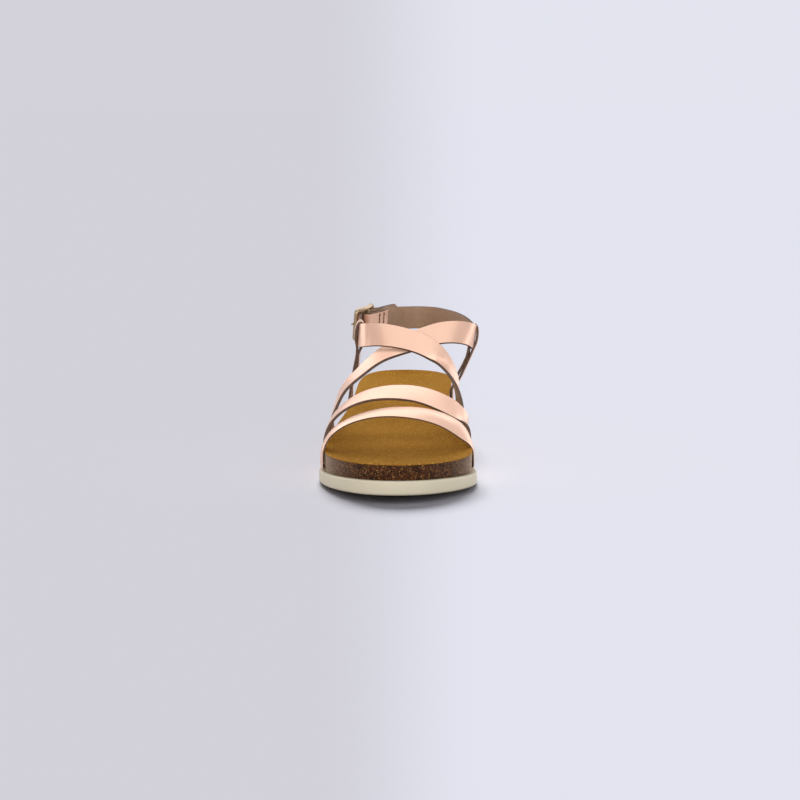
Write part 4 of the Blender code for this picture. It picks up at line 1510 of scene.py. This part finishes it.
@dataclass
class Upper:
    """The four straps. An end's station is where it goes down into the sole, lateral before medial."""
    buckle: Buckle
    width: float = STRAP_WIDTH
    thickness: float = STRAP_THICKNESS
    tab_width: float = 12.0
    tab_thickness: float = 1.4
    toe_ends: tuple[float, float] = (190.4, 180.6)
    second_ends: tuple[float, float] = (167.0, 165.0)
    instep_end: float = 147.4
    ankle_end: float = 149.4
    toe_crown: float = 1.05
    second_crown: float = 0.3
    sole_calm: float = 5.0
    tab_calm: float = 58.0
    tip_calm: float = 78.0
    ankle_step: float = 0.7
    toe: tuple[Lay, ...] = (
        Lay(-44.0, 189.4, 24.5, 3.0),
        Lay(-40.4, 187.8, 30.2, 5.0),
        Lay(-34.0, 185.8, 35.1, 4.0),
        Lay(-22.0, 184.6, 40.1, 5.5),
        Lay(-10.0, 184.0, 42.5, 9.5),
        Lay(1.2, 183.6, 42.9, 14.0),
        Lay(13.0, 183.2, 41.8, 19.0),
        Lay(25.0, 182.4, 38.6, 24.0),
        Lay(34.0, 181.6, 33.9, 28.0),
        Lay(42.2, 180.8, 26.8, 29.0),
    )
    second: tuple[Lay, ...] = (
        Lay(-44.2, 166.0, 27.0, 4.0),
        Lay(-41.2, 163.6, 34.2, 5.0),
        Lay(-35.4, 162.8, 40.4, 6.0),
        Lay(-23.4, 160.2, 47.1, 14.0),
        Lay(-11.5, 158.0, 49.7, 20.0),
        Lay(0.5, 157.0, 50.1, 26.0),
        Lay(12.5, 156.6, 48.6, 30.0),
        Lay(24.5, 158.8, 44.7, 33.0),
        Lay(34.4, 161.4, 39.6, 32.0),
        Lay(41.9, 163.6, 32.2, 22.0, -4.0),
    )
    instep: tuple[Lay, ...] = (
        Lay(-42.6, 145.6, 29.0, 5.0),
        Lay(-40.4, 142.0, 37.0, 9.0),
        Lay(-34.6, 134.0, 49.2, 12.0),
        Lay(-25.0, 126.6, 58.2, 14.5),
        Lay(-13.0, 117.2, 66.7, 19.0),
        Lay(-0.8, 109.4, 71.9, 33.0),
        Lay(11.6, 105.4, 75.9, 48.0),
        Lay(24.2, 104.5, 79.6, 53.0),
        Lay(35.4, 102.0, 79.8, 59.0),
        Lay(43.4, 97.2, 77.8, 70.0, 6.0),
        Lay(46.5, 91.0, 75.2, 84.0, 10.0),
        Lay(46.5, 83.0, 73.6, 90.0, 9.0),
        Lay(45.7, 74.4, 73.6, 90.0, 8.0),
        Lay(41.7, 57.0, 76.0, 90.0, 6.0),
        Lay(36.6, 39.0, 77.2, 90.0, 2.0),
        Lay(29.0, 19.4, 77.5, 90.0),
        Lay(19.4, 5.8, 77.8, 90.0),
        Lay(9.8, 1.4, 77.8, 90.0),
        Lay(0.0, 4.8, 77.9, 89.0),
        Lay(-7.6, 13.2, 78.6, 87.0),
        Lay(-13.2, 24.6, 79.6, 84.0),
    )
    ankle_tip: tuple[Lay, ...] = (
        Lay(-8.6, 9.2, 80.1, 88.0, -2.0),
        Lay(-12.8, 16.9, 79.8, 87.0, -2.0),
        Lay(-16.4, 25.4, 79.8, 86.0, -1.0),
        Lay(-19.0, 37.4, 80.2, 85.0, -1.0),
    )
    ankle: tuple[Lay, ...] = (
        Lay(-29.0, 72.0, 77.0, 88.0, 6.0),
        Lay(-28.5, 83.0, 76.2, 86.0, 4.0),
        Lay(-27.5, 92.0, 75.9, 82.0, 3.0),
        Lay(-23.6, 100.8, 77.4, 70.0),
        Lay(-14.0, 107.2, 78.7, 60.0),
        Lay(-4.0, 109.7, 77.8, 55.0),
        Lay(6.0, 110.5, 75.6, 51.0),
        Lay(14.8, 112.3, 72.6, 48.0),
        Lay(23.0, 115.8, 67.5, 37.0),
        Lay(29.6, 122.4, 60.8, -20.0, 43.0),
        Lay(33.6, 132.0, 53.0, -40.0, 20.0),
        Lay(36.6, 142.6, 43.0, -28.0, -10.0),
    )
    ankle_weave: tuple[Weave, ...] = (
        Weave(-9.2, -1.5),
        Weave(-5.0, 0.6),
        Weave(-1.6, 2.2),
        Weave(1.6, 2.2),
        Weave(5.0, 0.6),
        Weave(9.2, -1.7),
    )
    tab_out: tuple[Weave, ...] = (Weave(-13.0, -4.2), Weave(-8.6, -3.9), Weave(-4.4, -1.9))
    tab_back: tuple[Weave, ...] = (Weave(-4.4, -6.9), Weave(-9.2, -8.0), Weave(-17.0, -8.4))
    ankle_creases: tuple[Crease, ...] = (Crease(-20.8, 102.8, 77.9, 0.2, 1.9),)
    tip_reach: float = 5.2
    tip_angles: tuple[float, ...] = (82, 72, 60, 46, 30, 14)
    fold_steps: int = 9
    hole_radius: float = 1.1
    hole_sides: int = 20
    hole_depths: tuple[float, float] = (1.5, -4.0)
    hole_origin: Weave = Weave(-2.0, 2.0)
    hole_places: tuple[float, ...] = (-29.0, -20.0, -11.0, 13.5)
    slot_half: float = 1.3
    slot_depths: tuple[float, float] = (-3.0, 0.1)
    prong_hole_half: float = 1.2
    prong_hole_ends: tuple[float, float] = (-3.5, -0.7)
    prong_hole_depths: tuple[float, float] = (-0.4, 4.0)
    stitch_rows: tuple[float, ...] = (-12.0, -7.6)
    stitches_per_row: int = 4
    stitch_steps: int = 9
    stitch_pitch: float = 2.6
    stitch_radius: float = 0.42
    stitch_half: float = 0.42
    stitch_lift: float = 0.22
    stitch_sink: float = 0.25

    def instep_rows(self) -> list[Row]:
        """Instep strap: lateral sole, over the instep, round the heel, its tab round the centre bar.

        Returns:
            The sections.
        """
        buckle = self.buckle
        fold = buckle.bar + GAP + self.tab_thickness
        angles = np.radians(np.linspace(90, -90, self.fold_steps))
        around = [Weave(fold * math.cos(a), fold * math.sin(a) - buckle.arch) for a in angles]
        rows = LastedEnd(Side.LATERAL, self.instep_end).rows() + free_rows(self.instep)
        rows += buckle.weave(self.tab_out[:1])
        rows += buckle.weave(self.tab_out[1:], self.tab_width, 0.5 * (self.thickness + self.tab_thickness))
        rows += buckle.weave(around, self.tab_width, self.tab_thickness)
        return rows + buckle.weave(self.tab_back, self.tab_width, self.tab_thickness)

    def ankle_rows(self) -> list[Row]:
        """Ankle strap: tip, through the buckle and the lateral stay, over the instep strap, medial sole.

        Returns:
            The sections.
        """
        body = free_rows(self.ankle_tip) + self.buckle.weave(self.ankle_weave) + free_rows(self.ankle)
        first = body[0]
        back = unit(first.point - body[1].point)
        tip = []
        for angle in np.radians(self.tip_angles):
            point = first.point + back * self.tip_reach * math.sin(angle)
            tip.append(first._replace(point=point, width=self.width * math.cos(angle)))
        return tip + body + LastedEnd(Side.MEDIAL, self.ankle_end).rows()[::-1]

    @staticmethod
    def front_rows(table: Sequence[Lay], ends: tuple[float, float]) -> list[Row]:
        """Sections of a front strap, from the lateral side of the sole to the medial one.

        Args:
            table: Its free stretch.
            ends: Stations of its ends.

        Returns:
            The sections.
        """
        lateral = LastedEnd(Side.LATERAL, ends[0]).rows()
        medial = LastedEnd(Side.MEDIAL, ends[1]).rows()
        return lateral + free_rows(table) + medial[::-1]

    def holes(self, rows: Sequence[Row]) -> list[bpy.types.Object]:
        """Round cutters for the ankle strap's punched holes.

        Args:
            rows: The strap's sections.

        Returns:
            The cutters.
        """
        run = trace(rows)
        middle = self.buckle.at(self.hole_origin.forward, 0.0, self.hole_origin.outward)
        origin = run.travel[int(np.argmin(np.linalg.norm(run.place - middle, axis=1)))]
        cutters = []
        count = self.hole_sides
        for n, reach in enumerate(self.hole_places):
            i = int(np.argmin(np.abs(run.travel - origin - reach)))
            points = []
            for depth in self.hole_depths:
                for k in range(count):
                    angle = 2 * math.pi * k / count
                    swing = math.cos(angle) * run.along[i] + math.sin(angle) * run.across[i]
                    points.append(run.place[i] + depth * run.outward[i] + self.hole_radius * swing)
            faces = [tuple(range(count)), tuple(range(count, 2 * count))]
            faces += [(k, (k + 1) % count, (k + 1) % count + count, k + count) for k in range(count)]
            cutters.append(make_piece(f"hole_{n}", points, faces, [f.material() for f in STRAP_FINISHES],
                                      [Face.EDGE] * len(faces)))
        return cutters

    def stitches(self) -> bpy.types.Object:
        """Two rows of stitches across the tab that is folded round the centre bar.

        Returns:
            The piece.
        """
        points: list[np.ndarray] = []
        faces: list[tuple[int, ...]] = []
        forwards, outwards = zip(*self.tab_back[::-1])
        for forward in self.stitch_rows:
            face = float(np.interp(forward, forwards, outwards))
            for k in range(self.stitches_per_row):
                up = (k - (self.stitches_per_row - 1) / 2) * self.stitch_pitch
                path: list[Triple] = []
                for share in np.linspace(-1, 1, self.stitch_steps):
                    lift = self.stitch_lift * (1 - share ** 4) - self.stitch_sink * abs(share) ** 6
                    path.append((forward, up + self.stitch_half * self.stitch_pitch * share, face - lift))
                add_part(points, faces, self.buckle.tube(path, self.stitch_radius, False))
        piece = make_piece("tab_stitches", points, faces, [Finishes.THREAD.material()])
        return piece

    def build(self) -> list[bpy.types.Object]:
        """Make the four straps and the tab's stitches.

        Returns:
            The pieces.
        """
        ankle = self.ankle_rows()
        sole, tab, tip = self.sole_calm, self.tab_calm, self.tip_calm
        pieces = [
            Ribbon("toe_strap", self.front_rows(self.toe, self.toe_ends), calm=(sole, sole),
                   crown=self.toe_crown).build(),
            Ribbon("second_strap", self.front_rows(self.second, self.second_ends), calm=(sole, sole),
                   crown=self.second_crown).build(),
            Ribbon("instep_strap", self.instep_rows(), calm=(sole, tab)).build(),
            Ribbon("ankle_strap", ankle, self.ankle_step, calm=(tip, sole),
                   creases=self.ankle_creases).build(),
        ]
        skins = [f.material() for f in STRAP_FINISHES]
        buckle, slot, hole = self.buckle, self.slot_half, self.prong_hole_half
        reach = buckle.bar + GAP + 2 * buckle.prong_radius + GAP
        punch(pieces[2], [buckle.block("tab_slot", (-reach, reach), (-slot, slot), self.slot_depths, skins)])
        prong_hole = buckle.block("prong_hole", self.prong_hole_ends, (-hole, hole),
                                  self.prong_hole_depths, skins)
        punch(pieces[3], [prong_hole] + self.holes(ankle))
        for piece in pieces:
            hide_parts("upper")
        return pieces + [self.stitches()]


@dataclass
class Stays:
    """Straps from the sole's sides up to loops round two others. Pairs are lateral, then medial."""
    upper: Upper
    width: float = 14.0
    thickness: float = 1.7
    foot_station: float = 82.0
    tail_drops: tuple[tuple[float, ...], ...] = ((5.0, 10.0, 16.0), (6.5, 13.0, 25.0))
    top_station: float = 83.0
    ankle_height: float = 60.0
    loop_out: tuple[Loop, ...] = (
        Loop(-7.2, 0.9),
        Loop(-4.0, 1.75),
        Loop(0.5, 2.1),
        Loop(4.5, 1.7),
        Loop(7.3, 0.7),
    )
    loop_top: tuple[Loop, ...] = (Loop(8.4, -0.4), Loop(8.75, -1.2), Loop(8.4, -2.2))
    loop_in: tuple[Loop, ...] = (Loop(7.0, -3.4), Loop(3.5, -4.0), Loop(-3.0, -4.1), Loop(-8.0, -4.0))
    lateral: tuple[Lay, ...] = (Lay(-33.6, 82.2, 41.0, 0.0), Lay(-31.6, 82.6, 53.0, 0.0))
    medial: tuple[Lay, ...] = (Lay(36.9, 82.2, 46.0, 0.0), Lay(41.4, 82.6, 55.0, 0.0))
    run_slope: tuple[float, float] = (-0.02, -0.11)
    loop_slope: tuple[float, float] = (0.04, -0.02)
    loop_rise: tuple[float, float] = (0.0, 0.17)

    def rows(self, side: Side, table: Sequence[Lay], strap: Sequence[Row]) -> list[Row]:
        """Sections of one stay, from the sole up, round the strap and down again inside.

        Args:
            side: Side of the foot.
            table: Its straight run.
            strap: Sections of the strap that it carries.

        Returns:
            The sections.
        """
        run = trace(strap)
        station = LAST.length / 2 - run.place[:, 1]
        here = (run.place[:, 2] > self.ankle_height) & (side * run.place[:, 0] > 0)
        i = int(np.argmin(np.where(here, np.abs(station - self.top_station), np.inf)))
        which = (side + 1) // 2
        toe_shade = np.sign(-run.along[i][1])
        run_way, ways = (-toe_shade * unit(np.array([slope[which], -1.0, rise]))
                         for slope, rise in ((self.run_slope, 0.0), (self.loop_slope, self.loop_rise[which])))

        def around(up: float, out: float) -> Row:
            """Section beside the strap."""
            return Row(run.place[i] + up * run.across[i] + out * run.outward[i], ways)

        foot = LastedEnd(side, self.foot_station)
        rows = [row._replace(thickness=self.thickness) for row in foot.rows(heelward=-side)]
        rows += [row._replace(across=run_way) for row in free_rows(table)]
        rise_rows = len(rows) + 1
        rows += [around(*spot) for spot in self.loop_out + self.loop_top + self.loop_in]
        outer = trace(rows[:rise_rows])
        length = outer.travel
        for drop in self.tail_drops[which]:
            at = length[-1] - drop
            spot = np.array([np.interp(at, length, column) for column in outer.place.T])
            facing = np.array([np.interp(at, length, column) for column in outer.outward.T])
            rows.append(Row(spot - (2 * self.thickness + GAP) * unit(facing), run_way))
        return [row._replace(width=self.width, thickness=min(row.thickness, self.thickness)) for row in rows]

    def build(self) -> list[bpy.types.Object]:
        """Make both stays.

        Returns:
            The pieces.
        """
        pieces = []
        for name, side, table, strap in (
                ("stay_lateral", Side.LATERAL, self.lateral, self.upper.ankle_rows()),
                ("stay_medial", Side.MEDIAL, self.medial, self.upper.instep_rows())):
            piece = Ribbon(name + "_strap", self.rows(side, table, strap)).build()
            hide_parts(name)
            pieces.append(piece)
        return pieces


# Studio


@dataclass(frozen=True)
class Lamp:
    """One softbox for the sandal: where it is, what it looks at, its width, height and radiance."""
    name: str
    place: Triple
    target: Triple
    width: float
    height: float
    radiance: float

    def build(self) -> bpy.types.Object:
        """Make the light, with the power that gives its radiance.

        Returns:
            The light's object.
        """
        data = bpy.data.lights.new(self.name, "AREA")
        data.shape = "RECTANGLE"
        data.size, data.size_y = self.width, self.height
        data.energy = self.radiance * math.pi * self.width * self.height
        piece = bpy.data.objects.new(self.name, data)
        piece.location = self.place
        way = Vector(self.target) - Vector(self.place)
        piece.rotation_euler = way.to_track_quat("-Z", "Y").to_euler()
        bpy.context.scene.collection.objects.link(piece)
        return piece


@dataclass
class Studio:
    """Pale sweep with a glow from behind, softboxes for the sandal alone, and the camera."""
    aim: Triple = (-0.00191, 0.0, 0.0397)
    distance: float = 1.2
    azimuth: float = 1.53
    elevation: float = 8.7
    focal_px: float = 1938.0
    frame_px: float = 800.0
    sensor: float = 36.0
    clip_end: float = 200.0
    floor_half: float = 60.0
    left_colour: Triple = (0.650, 0.643, 0.704)
    right_colour: Triple = (0.765, 0.773, 0.857)
    gradient_half: float = 0.045
    near: float = 0.55
    glow_elevation: float = 42.0
    glow_turn: float = -9.0
    glow_spread: float = 32.0
    glow_colour: Triple = (1.0, 1.0, 0.977)
    ambient: float = 0.3
    ambient_share: float = 0.72
    front_share: float = 0.2
    back_share: float = 0.75
    mirror_ends: tuple[float, float] = (-0.3, 0.2)
    shading: tuple[str, ...] = ("outsole_cream", "cork_block", "suede_insole")
    lamps: tuple[Lamp, ...] = (
        Lamp("top", (-0.45, 1.15, 1.3), (-0.45, 1.15, 0.0), 1.6, 1.9, 1.45),
        Lamp("far", (0.77, 1.45, 1.3), (0.77, 1.45, 0.0), 0.74, 0.95, 2.0),
        Lamp("canopy", (0.0, -0.45, 1.35), (0.0, -0.45, 0.0), 1.7, 1.1, 0.9),
        Lamp("front", (0.0, -1.35, 0.42), (0.0, 0.0, 0.03), 3.2, 0.75, 2.6),
        Lamp("left", (-0.88, 1.02, 0.7), (0.0, 0.0, 0.04), 1.0, 0.36, 1.4),
        Lamp("right", (1.0, 0.9, 0.4), (0.0, 0.0, 0.04), 1.2, 0.7, 1.1),
        Lamp("side_left", (-1.18, 0.74, 0.25), (0.0, 0.0, 0.04), 0.9, 0.45, 1.5),
        Lamp("side_right", (1.29, 0.52, 0.25), (0.0, 0.0, 0.04), 1.0, 0.45, 1.4),
    )

    def back(self) -> Vector:
        """Direction from the sandal to the camera."""
        azimuth, elevation = math.radians(self.azimuth), math.radians(self.elevation)
        return Vector((math.sin(azimuth) * math.cos(elevation), -math.cos(azimuth) * math.cos(elevation),
                       math.sin(elevation)))

    def eye(self) -> Vector:
        """Place of the camera."""
        return Vector(self.aim) + self.distance * self.back()

    def sweep_group(self) -> bpy.types.NodeTree:
        """Pale colour that brightens from left to right, by the way that a place lies from a fixed stand.

        Returns:
            The group, with a Way vector in and a Color out.
        """
        def fill(graph: Graph, taken: bpy.types.Node, given: bpy.types.Node) -> None:
            """Blend by how far to the side the way points.

            Args:
                graph: The group's graph.
                taken: Its input node.
                given: Its output node.
            """
            split = graph.node("ShaderNodeSeparateXYZ", {0: taken.outputs["Way"]})
            depth = graph.math("MAXIMUM", graph.math("ABSOLUTE", split.outputs[1]), self.near)
            ratio = graph.math("DIVIDE", split.outputs[0], depth)
            middle = -math.tan(math.radians(self.azimuth))
            ends = {1: middle - self.gradient_half, 2: middle + self.gradient_half}
            share = graph.node("ShaderNodeMapRange", {0: ratio, **ends}, interpolation_type="SMOOTHSTEP")
            colour = graph.mix(share.outputs[0], self.left_colour, self.right_colour)
            graph.feed(given.inputs["Color"], colour)

        return shared_group("sweep", {}, {"Color": "NodeSocketColor"}, fill, vectors=("Way",))

    def floor(self) -> bpy.types.Object:
        """Large plain floor.

        Returns:
            The floor.
        """
        mesh = bpy.data.meshes.new("floor")
        far = self.floor_half
        mesh.from_pydata([(-far, -far, 0), (far, -far, 0), (far, far, 0), (-far, far, 0)], [], [(0, 1, 2, 3)])
        made = bpy.data.materials.new("pale_floor")
        made.use_nodes = True
        shader = made.node_tree.nodes["Principled BSDF"]
        shader.inputs["Roughness"].default_value = 1.0
        shader.inputs["Specular IOR Level"].default_value = 0.0
        graph = Graph(made.node_tree)
        eye = self.eye()
        way = graph.vector("SUBTRACT", graph.place(), (eye.x, eye.y, 0.0))
        sweep = graph.group(self.sweep_group(), Way=way)
        graph.feed(shader.inputs["Base Color"], sweep.outputs["Color"])
        mesh.materials.append(made)
        piece = bpy.data.objects.new("floor", mesh)
        bpy.context.scene.collection.objects.link(piece)
        return piece

    def light(self, floor: bpy.types.Object, pieces: Sequence[bpy.types.Object]) -> None:
        """Low glow on the floor, and softboxes that leave the floor out.

        Args:
            floor: The floor.
            pieces: The sandal's pieces, of which those close to the floor shade it.
        """
        glow = bpy.data.lights.new("glow", "SUN")
        glow.angle = math.radians(self.glow_spread)
        glow.color = self.glow_colour
        rise, turn = math.radians(self.glow_elevation), math.radians(self.glow_turn)
        glow.energy = (1 - self.ambient_share * self.ambient) * math.pi / math.sin(rise)
        sun = bpy.data.objects.new("glow", glow)
        source = Vector((math.sin(turn) * math.cos(rise), math.cos(turn) * math.cos(rise), math.sin(rise)))
        sun.rotation_euler = (-source).to_track_quat("-Z", "Y").to_euler()
        bpy.context.scene.collection.objects.link(sun)
        only_floor = bpy.data.collections.new("only_floor")
        only_floor.objects.link(floor)
        sun.light_linking.receiver_collection = only_floor
        shaders = bpy.data.collections.new("shade_the_floor")
        for piece in pieces:
            if piece.name in self.shading:
                shaders.objects.link(piece)
        sun.light_linking.blocker_collection = shaders
        no_floor = bpy.data.collections.new("no_floor")
        no_floor.objects.link(floor)
        no_floor.collection_objects[0].light_linking.link_state = "EXCLUDE"
        for lamp in self.lamps:
            lamp.build().light_linking.receiver_collection = no_floor

    def surround(self) -> None:
        """World that looks like the floor and gives little light."""
        world = bpy.data.worlds.new("surround")
        world.use_nodes = True
        graph = Graph(world.node_tree)
        shader = world.node_tree.nodes["Background"]
        way = graph.node("ShaderNodeTexCoord").outputs["Generated"]
        sweep = graph.group(self.sweep_group(), Way=way)
        graph.feed(shader.inputs["Color"], sweep.outputs["Color"])
        path = graph.node("ShaderNodeLightPath")
        depth = graph.node("ShaderNodeSeparateXYZ", {0: way}).outputs[1]
        strength = graph.span(depth, self.front_share, self.back_share, *self.mirror_ends)
        mirrored = graph.math("MULTIPLY", path.outputs["Is Glossy Ray"], strength)
        seen = graph.math("MAXIMUM", path.outputs["Is Camera Ray"], mirrored)
        graph.feed(shader.inputs["Strength"], graph.span(seen, self.ambient, 1.0))
        bpy.context.scene.world = world

    def camera(self) -> None:
        """Camera at the photograph's angle."""
        data = bpy.data.cameras.new("camera")
        data.sensor_width = self.sensor
        data.lens = self.focal_px / self.frame_px * self.sensor
        data.clip_end = self.clip_end
        piece = bpy.data.objects.new("camera", data)
        piece.location = self.eye()
        piece.rotation_euler = (-self.back()).to_track_quat("-Z", "Y").to_euler()
        bpy.context.scene.collection.objects.link(piece)
        bpy.context.scene.camera = piece

    def build(self, pieces: Sequence[bpy.types.Object]) -> None:
        """Set up floor, lights, camera and plain colours.

        Args:
            pieces: The sandal's pieces.
        """
        self.light(self.floor(), pieces)
        self.surround()
        self.camera()
        bpy.context.scene.view_settings.view_transform = "Standard"


def main() -> None:
    """Load the frame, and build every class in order."""
    logging.basicConfig(level=logging.INFO, format="%(name)s: %(message)s")
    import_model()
    buckle = Buckle()
    upper = Upper(buckle)
    pieces = [piece for maker in (SoleUnit(), upper, Stays(upper), buckle) for piece in maker.build()]
    for piece in pieces:
        LOG.info("%s: %d faces", piece.name, len(piece.data.polygons))
    Studio().build(pieces)


if __name__ == "__main__":
    main()
